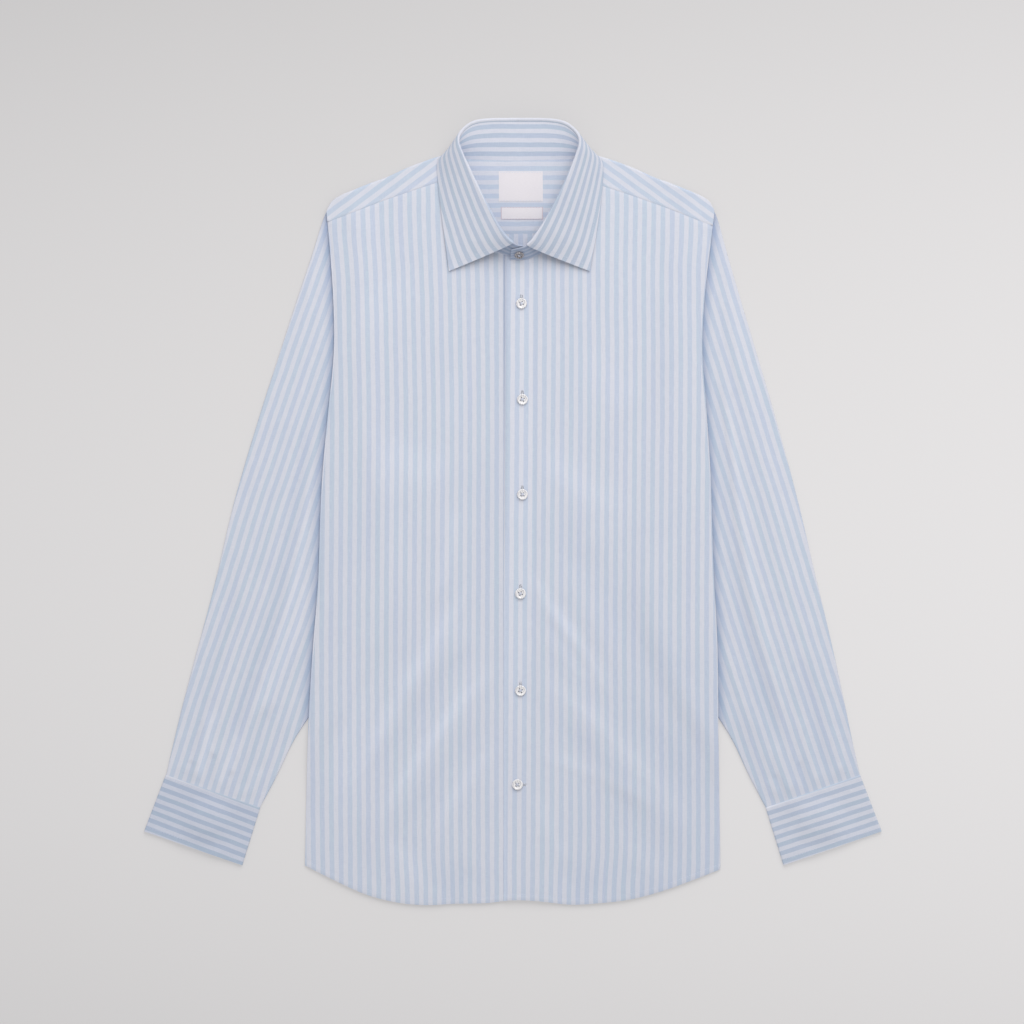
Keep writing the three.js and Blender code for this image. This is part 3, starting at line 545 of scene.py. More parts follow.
def small_mesh(name, points, faces):
    """A mesh round its own origin, from points in millimetres."""
    mesh = bpy.data.meshes.new(name)
    mesh.from_pydata([Vector(point) * TO_METRES for point in points], [], faces)
    mesh.update()
    return mesh


def grid_faces(rows, columns, start=0):
    """Faces of a grid of points, row after row."""
    first = start + np.arange(rows - 1)[:, None] * columns + np.arange(columns - 1)
    corners = [first, first + 1, first + columns + 1, first + columns]
    return np.stack(corners, axis=-1).reshape(-1, 4)


def tube_faces(rings, sides, start=0):
    """Faces of an open tube, from each ring of points to the next."""
    ring = start + np.arange(rings - 1)[:, None] * sides
    side = np.arange(sides)
    after = (side + 1) % sides
    corners = [ring + side, ring + after, ring + sides + after, ring + sides + side]
    return np.stack(corners, axis=-1).reshape(-1, 4)


def flat_area(grid):
    """Area of a grid of points in the drawing, in square metres."""
    across = grid[:-1, 1:] - grid[:-1, :-1]
    up = grid[1:, :-1] - grid[:-1, :-1]
    return float(np.linalg.norm(np.cross(across, up), axis=-1).sum()) * TO_METRES**2


def thicken(piece, thickness, offset):
    """Gives a sheet its thickness, with sharp edges round its rim."""
    mesh = piece.data
    corners = np.zeros(len(mesh.loops), np.int32)
    mesh.loops.foreach_get("edge_index", corners)
    is_open = np.bincount(corners, minlength=len(mesh.edges)) == 1
    sharp = mesh.attributes.new("sharp_edge", "BOOLEAN", "EDGE")
    sharp.data.foreach_set("value", is_open)
    wall = piece.modifiers.new("wall", "SOLIDIFY")
    wall.thickness = thickness * TO_METRES
    wall.offset = offset
    wall.use_even_offset = False


def panel(grid, stripes, along, shade=0.0):
    """A grid of points with its stripe count, its length along the stripes and its shade."""
    shape = grid.shape[:2]
    return {
        "grid": grid,
        "stripes": np.broadcast_to(stripes, shape),
        "along": np.broadcast_to(along, shape),
        "shade": np.broadcast_to(shade, shape),
    }


def turned(part):
    """The same panel with its columns the other way round, so that it faces the other way."""
    return {name: values[:, ::-1] for name, values in part.items()}


def cloth_sheet(node, panels, material, turn=False):
    """A cloth piece of one or more panels, turned to face the other way or not, for its node."""
    area = sum(flat_area(part["grid"]) for part in panels)
    if turn:
        panels = [turned(part) for part in panels]
    points, faces, uv = [], [], []
    start = 0
    for part in panels:
        rows, columns = part["grid"].shape[:2]
        points.append(part["grid"].reshape(-1, 3))
        faces.append(grid_faces(rows, columns, start))
        places = [part["stripes"].ravel(), part["along"].ravel() / STRIPE_PERIOD]
        uv.append(np.stack(places, axis=-1))
        start += rows * columns
    piece = make_object(
        f"{node}_cloth", np.concatenate(points), np.concatenate(faces), np.concatenate(uv)
    )
    shade = piece.data.attributes.new("shade", "FLOAT", "POINT")
    values = np.concatenate([part["shade"].ravel() for part in panels])
    shade.data.foreach_set("value", np.clip(values, -0.3, 1).astype(np.float32))
    row = SHEETS[node]
    thicken(piece, row["wall"], row["offset"])
    piece.data.materials.append(material)
    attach(piece, "root")
    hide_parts(node)
    width, length = row["width"] * TO_METRES, row["length"] * TO_METRES
    area = min(area, width * length)


# Materials

def linear(red, green, blue):
    """A colour given as on screen, 0 to 255, as the shaders take it."""
    def channel(value):
        value /= 255
        return value / 12.92 if value <= 0.04045 else ((value + 0.055) / 1.055) ** 2.4
    return (channel(red), channel(green), channel(blue), 1)


class Nodes:
    """A material's nodes, made and linked in short calls."""

    def __init__(self, name):
        self.material = bpy.data.materials.new(name)
        self.material.use_nodes = True
        self.tree = self.material.node_tree
        self.tree.nodes.clear()

    def put(self, socket, value):
        if isinstance(value, bpy.types.NodeSocket):
            self.tree.links.new(value, socket)
        else:
            socket.default_value = value

    def add(self, kind, settings=None, **inputs):
        node = self.tree.nodes.new("ShaderNode" + kind)
        for key, value in (settings or {}).items():
            setattr(node, key, value)
        for key, value in inputs.items():
            self.put(node.inputs[key.replace("_", " ")], value)
        return node

    def math(self, operation, *values):
        node = self.tree.nodes.new("ShaderNodeMath")
        node.operation = operation
        for socket, value in zip(node.inputs, values):
            self.put(socket, value)
        return node.outputs[0]

    def plus(self, first, second):
        return self.math("ADD", first, second)

    def minus(self, first, second):
        return self.math("SUBTRACT", first, second)

    def times(self, first, second):
        return self.math("MULTIPLY", first, second)

    def step(self, value, low, high):
        """0 below low, 1 above high, and a smooth step between."""
        node = self.add("MapRange", {"interpolation_type": "SMOOTHSTEP"}, Value=value)
        self.put(node.inputs["From Min"], low)
        self.put(node.inputs["From Max"], high)
        return node.outputs["Result"]

    def mix(self, share, first, second, kind="MIX"):
        node = self.add("Mix", {"data_type": "RGBA", "blend_type": kind})
        self.put(node.inputs[0], share)
        self.put(node.inputs[6], first)
        self.put(node.inputs[7], second)
        return node.outputs[2]

    def noise(self, vector, scale, detail=2.0, roughness=0.5):
        node = self.add("TexNoise", Vector=vector, Scale=scale, Detail=detail, Roughness=roughness)
        return node.outputs["Fac"]

    def vector(self, x, y, z=0.0):
        return self.add("CombineXYZ", X=x, Y=y, Z=z).outputs[0]

    def on_cloth(self):
        """The stripe count and the length along the stripes, in stripe widths."""
        place = self.add("SeparateXYZ", Vector=self.add("UVMap", {"uv_map": "cloth"}).outputs[0])
        return place.outputs["X"], place.outputs["Y"]

    def streaks(self, count, length, across, along, detail=2.0):
        """Noise with that many specks in a stripe's width, across the stripes and along them."""
        place = self.vector(self.times(count, across), self.times(length, along))
        return self.noise(place, 1.0, detail)

    def bump(self, height, distance, strength=1.0, normal=None):
        node = self.add("Bump", Height=height, Distance=distance, Strength=strength)
        if normal is not None:
            self.put(node.inputs["Normal"], normal)
        return node.outputs[0]

    def finish(self, **inputs):
        shader = self.add("BsdfPrincipled")
        for key, value in inputs.items():
            self.put(shader.inputs[key.replace("_", " ")], value)
        output = self.tree.nodes.new("ShaderNodeOutputMaterial")
        self.tree.links.new(shader.outputs[0], output.inputs["Surface"])
        return self.material


def striped_cotton(name, dye):
    """Plain-woven cotton: light blue and white stripes, uneven yarns and a fine weave."""
    n = Nodes(name)
    count, length = n.on_cloth()

    # Distance from the middle of the nearest blue stripe, in stripe widths
    wander = n.times(n.minus(n.noise(n.vector(count, length), 0.35), 0.5), 0.12)
    shifted = n.plus(n.plus(count, wander), 0.5)
    from_blue = n.math("ABSOLUTE", n.minus(n.math("FRACT", shifted), 0.5))
    white = n.step(from_blue, 0.21, 0.3)

    # Yarns: long thin streaks along the stripes and short ones across
    warp = n.streaks(count, length, 26.0, 1.1, 3.0)
    weft = n.streaks(count, length, 1.4, 30.0, 3.0)
    uneven = n.plus(n.times(warp, 0.55), n.times(weft, 0.45))

    # Colours: the blue changes between two tints, and the cloth has faint blotches
    violet, sky, deep = (linear(*colour) for colour in dye)
    pale = n.mix(n.step(n.streaks(count, length, 0.9, 0.05), 0.35, 0.65), violet, sky)
    yarns = n.step(uneven, 0.35, 0.65)
    colour = n.mix(white, n.mix(yarns, deep, pale), n.mix(yarns, *WHITES))
    places = n.add("TexCoord").outputs["Object"]
    blotch = n.step(n.noise(places, 22.0, 3.0, 0.6), 0.4, 0.7)
    colour = n.mix(n.times(blotch, 0.04), colour, BLOTCH)

    # Painted shade and light: a shade above 0 darkens, most in the red, and below 0 it lightens
    shade = n.add("Attribute", {"attribute_name": "shade"}).outputs["Fac"]
    hollow = n.math("MAXIMUM", shade, 0.0)
    lit = n.minus(1.0, n.math("MINIMUM", shade, 0.0))
    channels = [n.math("MULTIPLY_ADD", hollow, share, lit) for share in SHADE_SHARES]
    colour = n.mix(1.0, colour, n.vector(*channels), "MULTIPLY")

    # Weave: a thread at each pitch both ways, over soft unevenness in the cloth
    threads = 2 * math.pi * STRIPE_PERIOD / WEAVE_PITCH
    over = n.math("SINE", n.times(count, threads))
    under = n.math("SINE", n.times(length, threads))
    height = n.plus(n.times(n.times(over, under), 0.5), n.times(uneven, 1.2))
    normal = n.bump(n.noise(places, 48.0, 3.0, 0.55), 0.0009, 0.55)
    normal = n.bump(height, 0.00008, 0.5, normal)
    return n.finish(
        Base_Color=colour, Roughness=0.88, Sheen_Weight=0.12, Sheen_Roughness=0.5,
        Specular_IOR_Level=0.25, Normal=normal,
    )


def label_weave(name, border):
    """Satin label tape, with a fine rib and a border line if one is named."""
    n = Nodes(name)
    across, up = n.on_cloth()
    rib = n.math("SINE", n.times(up, 2 * math.pi * STRIPE_PERIOD / RIB_PITCH))
    yarn = n.streaks(across, up, 3.0, 40.0)
    colour = n.mix(yarn, linear(224, 218, 221), linear(239, 234, 236))
    if border is not None:
        half_width, half_height = border[0] / 2 / STRIPE_PERIOD, border[1] / 2 / STRIPE_PERIOD
        in_side = n.minus(half_width, n.math("ABSOLUTE", across))
        in_end = n.minus(half_height, n.math("ABSOLUTE", up))
        inside = n.math("MINIMUM", in_side, in_end)
        line = n.minus(1.0, n.step(inside, 0.05, 0.11))
        colour = n.mix(line, colour, linear(206, 190, 198))
    return n.finish(
        Base_Color=colour, Roughness=0.55, Sheen_Weight=0.1, Specular_IOR_Level=0.4,
        Normal=n.bump(rib, 0.00005, 0.5),
    )


def sewing_thread(name, dark, pale):
    """Twisted pale thread."""
    n = Nodes(name)
    twist = n.noise(n.add("TexCoord").outputs["Object"], 2600.0, 1.0)
    return n.finish(
        Base_Color=n.mix(twist, linear(*dark), linear(*pale)), Roughness=0.6, Sheen_Weight=0.2,
        Normal=n.bump(twist, 0.00002, 0.5),
    )


def pearl(name, dark, pale):
    """Glossy button with cloudy bands as in shell."""
    n = Nodes(name)
    places = n.add("TexCoord").outputs["Object"]
    cloud = n.noise(places, 260.0, 3.0, 0.6)
    bands = n.add(
        "TexWave", {"wave_type": "BANDS"}, Vector=places, Scale=120.0, Distortion=9.0, Detail=2.0
    )
    blend = n.plus(n.times(cloud, 0.6), n.times(bands.outputs["Fac"], 0.4))
    return n.finish(
        Base_Color=n.mix(n.step(blend, 0.3, 0.7), linear(*dark), linear(*pale)),
        Roughness=n.plus(n.times(cloud, 0.12), 0.16), Coat_Weight=0.5, Coat_Roughness=0.12,
        Subsurface_Weight=0.1, Subsurface_Radius=(0.001, 0.001, 0.001),
        Normal=n.bump(cloud, 0.00008, 0.4),
    )


def floor_paper():
    """Pale studio paper that glows with its own colour as painted light, to lighten the shadows on it,
    and is painted a little darker towards its ends and lighter to one side.
    """
    n = Nodes("floor paper")
    place = n.add("SeparateXYZ", Vector=n.add("TexCoord").outputs["Object"])
    x, y = (n.math("MINIMUM", n.math("MAXIMUM", place.outputs[i], -0.6), 0.6) for i in (0, 1))
    # Painted shade: darker towards the ends along y, lighter towards +x and darker towards +y
    fall = n.math("MULTIPLY_ADD", n.times(y, y), -0.4, 0.995)
    slope = n.math("MULTIPLY_ADD", x, 0.095, n.times(y, -0.09))
    level = n.plus(fall, slope)
    colour = n.mix(1.0, n.vector(level, level, level), PAPER, "MULTIPLY")
    # The paper glows with its colour as well: painted light
    return n.finish(
        Base_Color=colour, Roughness=0.95, Specular_IOR_Level=0.1, Emission_Color=colour,
        Emission_Strength=1.0,
    )


WHITES = (linear(208, 210, 220), linear(217, 218, 226))
BLOTCH = linear(160, 172, 200)
SHADE_SHARES = (-0.7, -0.57, -0.36)
PAPER = (0.373, 0.365, 0.364, 1)
COTTON = striped_cotton("striped cotton", ((201, 207, 223), (197, 209, 220), (189, 198, 215)))
DOUBLED_COTTON = striped_cotton(
    "doubled striped cotton", ((192, 199, 215), (188, 201, 212), (180, 190, 207))
)
THREAD = sewing_thread("sewing thread", (196, 203, 222), (222, 225, 236))
PALE_THREAD = sewing_thread("buttonhole thread", (226, 229, 238), (240, 241, 247))
PEARL = pearl("pearl", (214, 211, 214), (244, 242, 240))
# Painted shade: a darker copy of the pearl for the collar button, which lies in the leaves' shadow
SHADED_PEARL = pearl("shaded pearl", (128, 122, 124), (168, 163, 164))


# Stitches

def stitch_row(name, path, normals):
    """A row of lockstitches along a path of points in the drawing, lying on the cloth."""
    steps = np.linalg.norm(np.diff(path, axis=0), axis=1)
    walked = np.concatenate([[0], np.cumsum(steps)])
    count = int(walked[-1] // STITCH_SPACING)
    middles = (np.arange(count) + 0.5) * walked[-1] / count

    def along_path(values, distance):
        return np.stack([np.interp(distance, walked, values[:, i]) for i in range(3)], axis=-1)

    rings, sides = 5, 6
    angles = np.arange(sides)[:, None] * 2 * np.pi / sides
    points = []
    for share in np.linspace(-0.5, 0.5, rings):
        at = middles + share * STITCH
        up = unit(along_path(normals, at))
        along = unit(along_path(path, at + 0.3) - along_path(path, at - 0.3) + 1e-9)
        side = np.cross(along, up)
        bow = 1 - (2 * share) ** 2
        radius = THREAD_RADIUS * (0.45 + 0.55 * bow)
        centre = along_path(path, at) + up * (THREAD_RADIUS * (0.9 * bow - 0.55))
        spokes = np.cos(angles) * side[:, None] + np.sin(angles) * up[:, None]
        points.append(centre[:, None] + radius * spokes)
    faces = tube_faces(rings, sides) + np.arange(count)[:, None, None] * rings * sides
    stitches = make_object(name, np.stack(points, axis=1).reshape(-1, 3), faces.reshape(-1, 4))
    stitches.data.materials.append(THREAD)
    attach(stitches, "root")


def facing_up(normals):
    return normals * np.where(normals[:, 2:] < 0, -1, 1)


def on_grid(grid, rows, columns):
    """Points of a grid, and its normals, at fractional rows and columns."""
    rows = np.clip(np.asarray(rows, float), 0, grid.shape[0] - 1.001)
    columns = np.clip(np.asarray(columns, float), 0, grid.shape[1] - 1.001)
    rows, columns = np.broadcast_arrays(rows, columns)
    r, c = rows.astype(int), columns.astype(int)
    fr, fc = (rows - r)[..., None], (columns - c)[..., None]
    low = lerp(grid[r, c], grid[r, c + 1], fc)
    high = lerp(grid[r + 1, c], grid[r + 1, c + 1], fc)
    across = lerp(grid[r, c + 1] - grid[r, c], grid[r + 1, c + 1] - grid[r + 1, c], fr)
    return lerp(low, high, fr), unit(np.cross(across, high - low))


# Body

def back_grid():
    across = np.linspace(-1, 1, 150)
    share = np.linspace(0, 1, 220)[:, None]
    hem = read(HEM, "across", across * body_half(HEM["y"][0]), "y") + BACK_HEM_RISE
    y = lerp(hem, YOKE_BACK_Y - SEAM_GAP, share)
    x = lean(y) + across * body_half(y)
    tail = (CLOTH - SHOWN_CLOTH) * ease((TAIL_Y - y) / TAIL_FALL)
    z = back_height(x, y) + CLOTH - tail + body_side_drop(x, y) - BACK_LOWERED
    return np.stack([x, y, np.maximum(z, SHOWN_CLOTH + 0.02)], axis=-1)


def front_top(side, edge_x):
    """Across and height of the points along the top of a front: neckline, then yoke seam."""
    corner = NECK["across"][-1]
    start = math.asin(side * (edge_x - float(lean(NECK["y"][0]))) / corner)
    neck_across = corner * np.sin(np.linspace(start, math.pi / 2, 50)[:-1])
    neck_y = read(NECK, "across", np.abs(neck_across), "y")
    seam_across = np.linspace(corner, YOKE_SEAM["across"][-1], 62)
    seam_y = read(YOKE_SEAM, "across", seam_across, "y") - side * YOKE_SEAM_SHIFT
    return np.concatenate([neck_across, seam_across]), np.concatenate([neck_y, seam_y])


def front_grid(side):
    edge_x = OPENING_X if side == LEFT else OPENING_X + OVERLAP
    top_across, top_y = front_top(side, edge_x)

    def side_x(y):
        return lean(y) + side * body_half(y)

    share = (lean(top_y) + side * top_across - edge_x) / (side_x(top_y) - edge_x)
    share = np.clip(share, 0, 1)
    share[-1] = 1
    hem_x = lerp(edge_x, side_x(HEM["y"][0]), share)
    hem_y = read(HEM, "across", hem_x - lean(HEM["y"][0]), "y")
    up = np.linspace(0, 1, 300)[:, None]
    y = lerp(hem_y, top_y, up)
    x = lerp(edge_x, side_x(y), share)
    small = small_folds(x, y)
    z = front_height(x, y) + CLOTH + small
    if side == LEFT:
        z = z + overlap_height(x) - edge_drop(x - edge_x, OPENING_ROUND, OPENING_DROP)
    else:
        z = z - UNDER_DROP * ease((x - OPENING_X) / 1.5)
    from_hem = y - hem_y
    groove = HEM_GROOVE * ridge(from_hem - HEM_DEPTH, HEM_GROOVE_HALF)
    z = z - body_side_drop(x, y) - edge_drop(from_hem, EDGE_ROUND, HEM_DROP) - groove
    seam = np.where(top_across >= NECK["across"][-1], 1.0, 0.0)
    z = z - seam * SEAM_STEP * ease(1.5 - (top_y - y) / 2)
    # Painted shade and light: the placket's and the lower left's, with painted shade in the troughs and
    # painted light on the ridges
    shade = placket_shade(side, x, y) + drape_shade(x, y) - HOLLOW_SHADE * small
    return np.stack([x, y, z], axis=-1), shade


def drape_shade(x, y):
    """The lower left falls away a little from the light."""
    return 0.06 * ease((-60 - y) / 220) * ease((x - 20) / 120)


def placket_shade(side, x, y):
    """Painted shade in the soft hollow beside the opening's edge, and painted light on the doubled
    cloth along it, with a painted shade line at its fold and a painted shadow at the edge that turns to
    painted light lower down.
    """
    if side == RIGHT:
        beside = np.clip(OPENING_X - x, 0, None)
        # Painted shade on the right front beside the opening's edge
        return 0.06 * np.exp(-beside / 9) * ease((y + 260) / 160)
    inside = x - OPENING_X
    doubled = ease(inside / 4) * ease((PLACKET - inside) / 3)
    fold_line = ridge(inside - PLACKET - 1, 2.2)
    edge = np.exp(-inside / 1.5)
    # Painted shade on the fold line and painted light on the doubled cloth, then a painted shadow at
    # the edge that turns to painted light near the hem
    soft = (0.035 * fold_line - 0.035 * doubled) * ease((y + 300) / 160)
    return soft + edge * lerp(-0.14, 0.66, ease((y + 120) / 360))


def small_folds(x, y):
    inside = ease(from_side(x, y) / SMALL_FOLDS_ROUND)
    return SMALL_FOLDS_SHOWN * fold_height(x, y, SMALL_FOLDS) * inside


def front_stripes(side, grid):
    """Stripe count and length on a front. The stripes bend a little at shoulder and hem."""
    x, y = grid[..., 0], grid[..., 1]
    across = from_middle(x, y)
    shoulder_bend = side * 1.8 * ease((y - 240) / 55) * (across / 190) ** 4
    hem_bend = -1.6 * side * ridge(side * x - 95, 40) * ease((-350 - y) / 45)
    wander = read(WANDER, "y", y, SIDE_NAMES[side])
    x = x - shoulder_bend - hem_bend - wander * ease(across / 80)
    period, blue, slant = FRONT_STRIPES[side]
    return (x - blue - slant * y) / period, y


def make_body():
    grid = back_grid()
    cloth_sheet("back", [panel(grid, grid[..., 0] / STRIPE_PERIOD, grid[..., 1])], COTTON)
    for side, name in SIDE_NAMES.items():
        grid, shade = front_grid(side)
        part = panel(grid, *front_stripes(side, grid), shade)
        cloth_sheet(f"front_{name}", [part], COTTON, turn=side == RIGHT)
        add_hem_stitches(name, grid[:, ::side])


def add_hem_stitches(name, grid):
    """A row of stitches above a front's hem, on the side that its grid faces."""
    rows, columns = grid.shape[:2]
    column = np.linspace(1, columns - 2, 500)
    height = np.linalg.norm(grid[-1] - grid[0], axis=-1)
    row = HEM_DEPTH / np.interp(column, np.arange(columns), height) * (rows - 1)
    path, normals = on_grid(grid, row, column)
    stitch_row(f"hem_stitches_{name}", path, normals)


# Yoke

def shoulder_grid(side):
    """One shoulder of the yoke: from the back, over the fold, down to the front's seam."""
    back_count, fold_count, front_count = 14, 10, 26
    tip = SHOULDER["across"][-1]
    share = np.linspace(0, 1, 70)
    across = lerp(YOKE_NECK_ACROSS, tip, 1 - (1 - share) ** 1.3)
    fold_y = read(SHOULDER, "across", across, "y")
    seam_y = read(YOKE_SEAM, "across", across, "y") - side * YOKE_SEAM_SHIFT - SEAM_LAP

    def place(y):
        half = across * body_half(y) / body_half(SHOULDER["y"][-1])
        return lean(y) + side * half

    def low_at(y):
        return back_height(place(y), y) + SHOWN_CLOTH / 2

    def high_at(y):
        return front_height(place(y), y) + CLOTH - SHOWN_CLOTH / 2

    radius = (high_at(fold_y) - low_at(fold_y)) / 2
    middle = (high_at(fold_y) + low_at(fold_y)) / 2
    start_y = fold_y - radius - SHOWN_CLOTH / 2
    lines, distances = [], []
    for i in range(back_count + 1):
        y = lerp(YOKE_BACK_Y, start_y, i / back_count)
        lines.append(np.stack([place(y), y, low_at(y)], axis=-1))
        distances.append(y - fold_y)
    for i in range(1, fold_count):
        angle = math.pi * i / fold_count
        y = start_y + radius * math.sin(angle)
        lines.append(np.stack([place(y), y, middle - radius * math.cos(angle)], axis=-1))
        distances.append(radius * (i / fold_count - 0.5) * 2)
    for i in range(front_count + 1):
        y = lerp(start_y, np.minimum(seam_y, start_y - 1), i / front_count)
        from_seam = y - np.minimum(seam_y, start_y - 1)
        z = high_at(y) + YOKE_EDGE_ROLL * ridge(from_seam, 2.5)
        z = z - edge_drop(from_seam, EDGE_ROUND, YOKE_EDGE_DROP)
        lines.append(np.stack([place(y), y, z], axis=-1))
        distances.append(fold_y - y)
    return np.stack(lines), np.stack(distances), across


def yoke_slab():
    """The part of the yoke that lies flat behind the neck, with its stripes across."""
    across = np.linspace(-1, 1, 80) * YOKE_NECK_ACROSS
    y = np.linspace(YOKE_BACK_Y - SLAB_LAP, YOKE_NECK_Y, 50)[:, None]
    wave = 0.1 * np.sin(across / 14 + y / 30) * np.sin(y / 11)
    lap_drop = 0.35 * ease((YOKE_BACK_Y + 2 - y) / 3)
    height = CLOTH - SHOWN_CLOTH / 2 + 0.05 + wave - lap_drop
    slab = np.stack([lean(y) + across, y + 0 * across, height], axis=-1)
    period, blue = SLAB_STRIPES
    return panel(slab, (slab[..., 1] - blue) / period, slab[..., 0], INSIDE_SHADE)


def make_yoke():
    panels = [yoke_slab()]
    for side, name in SIDE_NAMES.items():
        grid, distance, across = shoulder_grid(side)
        period, blue, slope = YOKE_STRIPES[side]
        slope = math.radians(slope)
        unfolded_y = read(SHOULDER, "across", across, "y") - distance
        over = side * grid[..., 0] * math.sin(slope)
        part = panel(grid, (over + unfolded_y * math.cos(slope) - blue) / period, grid[..., 0])
        panels.append(turned(part) if side == LEFT else part)
        rows, columns = grid.shape[:2]
        path, normals = on_grid(grid, np.full(columns, rows - 4.0), np.arange(columns))
        normals = facing_up(normals)
        stitch_row(f"yoke_stitches_{name}", grid[-4] + normals * SHOWN_CLOTH / 2, normals)
    cloth_sheet("yoke", panels, COTTON)


# Sleeves

def outer_edge(y):
    """Across of a sleeve's outer edge at a height, carried on past its last section."""
    heights, places = SLEEVE["outer_y"][::-1], SLEEVE["outer"][::-1]
    slope = (places[1] - places[0]) / (heights[1] - heights[0])
    return np.interp(y, heights, places) + slope * np.minimum(y - heights[0], 0)


def sleeve_line(side, section):
    """The outer and inner ends of sleeve sections, and their width."""
    outer_y = read(SLEEVE, "section", section, "outer_y")
    inner_y = read(SLEEVE, "section", section, "inner_y")
    outer_x = lean(outer_y) + side * read(SLEEVE, "section", section, "outer")
    inner_x = lean(inner_y) + side * tuck_half(inner_y)
    outer = np.stack([outer_x, outer_y], axis=-1)
    inner = np.stack([inner_x, inner_y], axis=-1)
    return outer, inner, np.linalg.norm(inner - outer, axis=-1)


def sleeve_air(side, section, share, width, x, y):
    """How far a sleeve's two layers are apart, and the height of its folds."""
    shown = -from_side(x, y) - SLEEVE_CLEAR
    inside = np.minimum(np.minimum(share, 1 - share) * width, shown)
    folds = sleeve_folds(side, section, share, width) * ease((shown + 6) / 14)
    air = lerp(SLEEVE_GAP, SLEEVE_LOFT, ease(inside / SLEEVE_ROUND)) + folds
    across = (share - 0.5) * width + CUFF_WIDTH / 2
    station = (across - CUFF_EDGE) / (CUFF_WIDTH - 2 * CUFF_EDGE) * CUFF_STATIONS
    at_cuff = cuff_upper(station) + SLEEVE_IN_CUFF - 2 * CLOTH
    return lerp(np.maximum(air, SEAM_GAP), at_cuff, ease((section - 8.55) / 0.45)), folds


def cuff_upper(station):
    """Height of the middle of a cuff's upper wall, which is raised over the lap."""
    past = np.maximum(np.maximum(CUFF_LAP_START - station, station - CUFF_LAP_END), 0)
    return lerp(CUFF_HIGH, CUFF_LOW, ease(past / CUFF_LAP_FALL))


def sleeve_folds(side, section, share, width):
    """Height of a sleeve's soft ridges and troughs, which run down its length."""
    height = 0.0
    for row in rows_of(SLEEVE_FOLDS):
        if row["side"] != side:
            continue
        along = (section - row["start"]) / (row["end"] - row["start"])
        at = lerp(row["at_start"], row["at_end"], np.clip(along, 0, 1))
        taper = ease(along / 0.2) * ease((1 - along) / 0.2)
        height = height + row["height"] * taper * ridge((share - at) * width, row["half"])
    return height


def sleeve_grid(side):
    """Rings round a sleeve: from the inner fold, under, round the outer fold and over the top."""
    top_count, under_count, fold_count = 74, 24, 8
    section = np.linspace(FIRST_SECTION, LAST_SECTION, 240)[:, None]
    outer, inner, width = sleeve_line(side, section)
    across = (inner - outer) / width[..., None]
    bow = read(SLEEVE, "section", section, "bow")
    radius = CLOTH + SLEEVE_GAP / 2
    edge = radius / width

    def point(share):
        place = lerp(outer, inner, share[..., None])
        place[..., 0] = place[..., 0] - side * bow * 4 * share * (1 - share)
        return place

    def fold(share, direction, angles):
        place = point(share + 0 * angles) + direction * across * (radius * np.cos(angles))[..., None]
        height = radius + radius * np.sin(angles) + 0 * section
        return np.concatenate([place, height[..., None]], axis=-1)

    quarter = np.linspace(0, math.pi / 2, fold_count)
    inner_low = fold(1 - edge, 1, -quarter[None, :-1])
    under_share = lerp(1 - edge, edge, np.linspace(0, 1, under_count)[None])
    under = point(under_share)
    under = np.concatenate([under, 0 * under[..., :1]], axis=-1)
    half_turn = np.linspace(-math.pi / 2, math.pi / 2, 2 * fold_count)[None, 1:-1]
    outer_fold = fold(edge, -1, half_turn)
    top_share = lerp(edge, 1 - edge, np.linspace(0, 1, top_count)[None])
    top = point(top_share)
    air, folds = sleeve_air(side, section, top_share, width, top[..., 0], top[..., 1])
    top = np.concatenate([top, (2 * CLOTH + air)[..., None]], axis=-1)
    inner_high = fold(1 - edge, 1, quarter[None, ::-1][:, 1:])
    grid = np.concatenate([inner_low, under, outer_fold, top, inner_high], axis=1)
    turn = np.concatenate([
        -np.ones(inner_low.shape[1] + under_count),
        np.sin(half_turn[0]),
        np.ones(top_count + inner_high.shape[1]),
    ])
    shade = sleeve_shade(grid)
    first_top = inner_low.shape[1] + under_count + half_turn.shape[1]
    # Painted shade in the sleeve's troughs and painted light on its ridges
    shade[:, first_top:first_top + top_count] -= SLEEVE_FOLD_SHADE * folds
    return grid, turn, shade


def sleeve_stripes(side, grid, turn):
    """Stripe count and length on a sleeve, turned round at its outer edge."""
    x, y = grid[..., 0], grid[..., 1]
    inwards = (outer_edge(y) - from_middle(x, y)) * SLEEVE_SLANT
    first = read(SLEEVE_STRIPES, "y", y, SIDE_NAMES[side])
    return (inwards * turn - first) / SLEEVE_PERIOD, y / SLEEVE_SLANT


def sleeve_shade(grid):
    """Painted shade in the hollow where a sleeve goes under the body's side, and the lower left's
    painted shade.
    """
    x, y = grid[..., 0], grid[..., 1]
    shown = np.clip(-from_side(x, y), 0, None)
    return ARMHOLE_SHADE * ridge(shown, ARMHOLE_SHADE_WIDTH) + drape_shade(x, y)


def make_sleeves():
    for side, name in SIDE_NAMES.items():
        grid, turn, shade = sleeve_grid(side)
        part = panel(grid, *sleeve_stripes(side, grid, turn), shade)
        cloth_sheet(f"sleeve_{name}", [part], COTTON, turn=side == RIGHT)


# Cuffs

def cuff_station(i):
    return lerp(CUFF_EDGE, CUFF_WIDTH - CUFF_EDGE, i / CUFF_STATIONS)


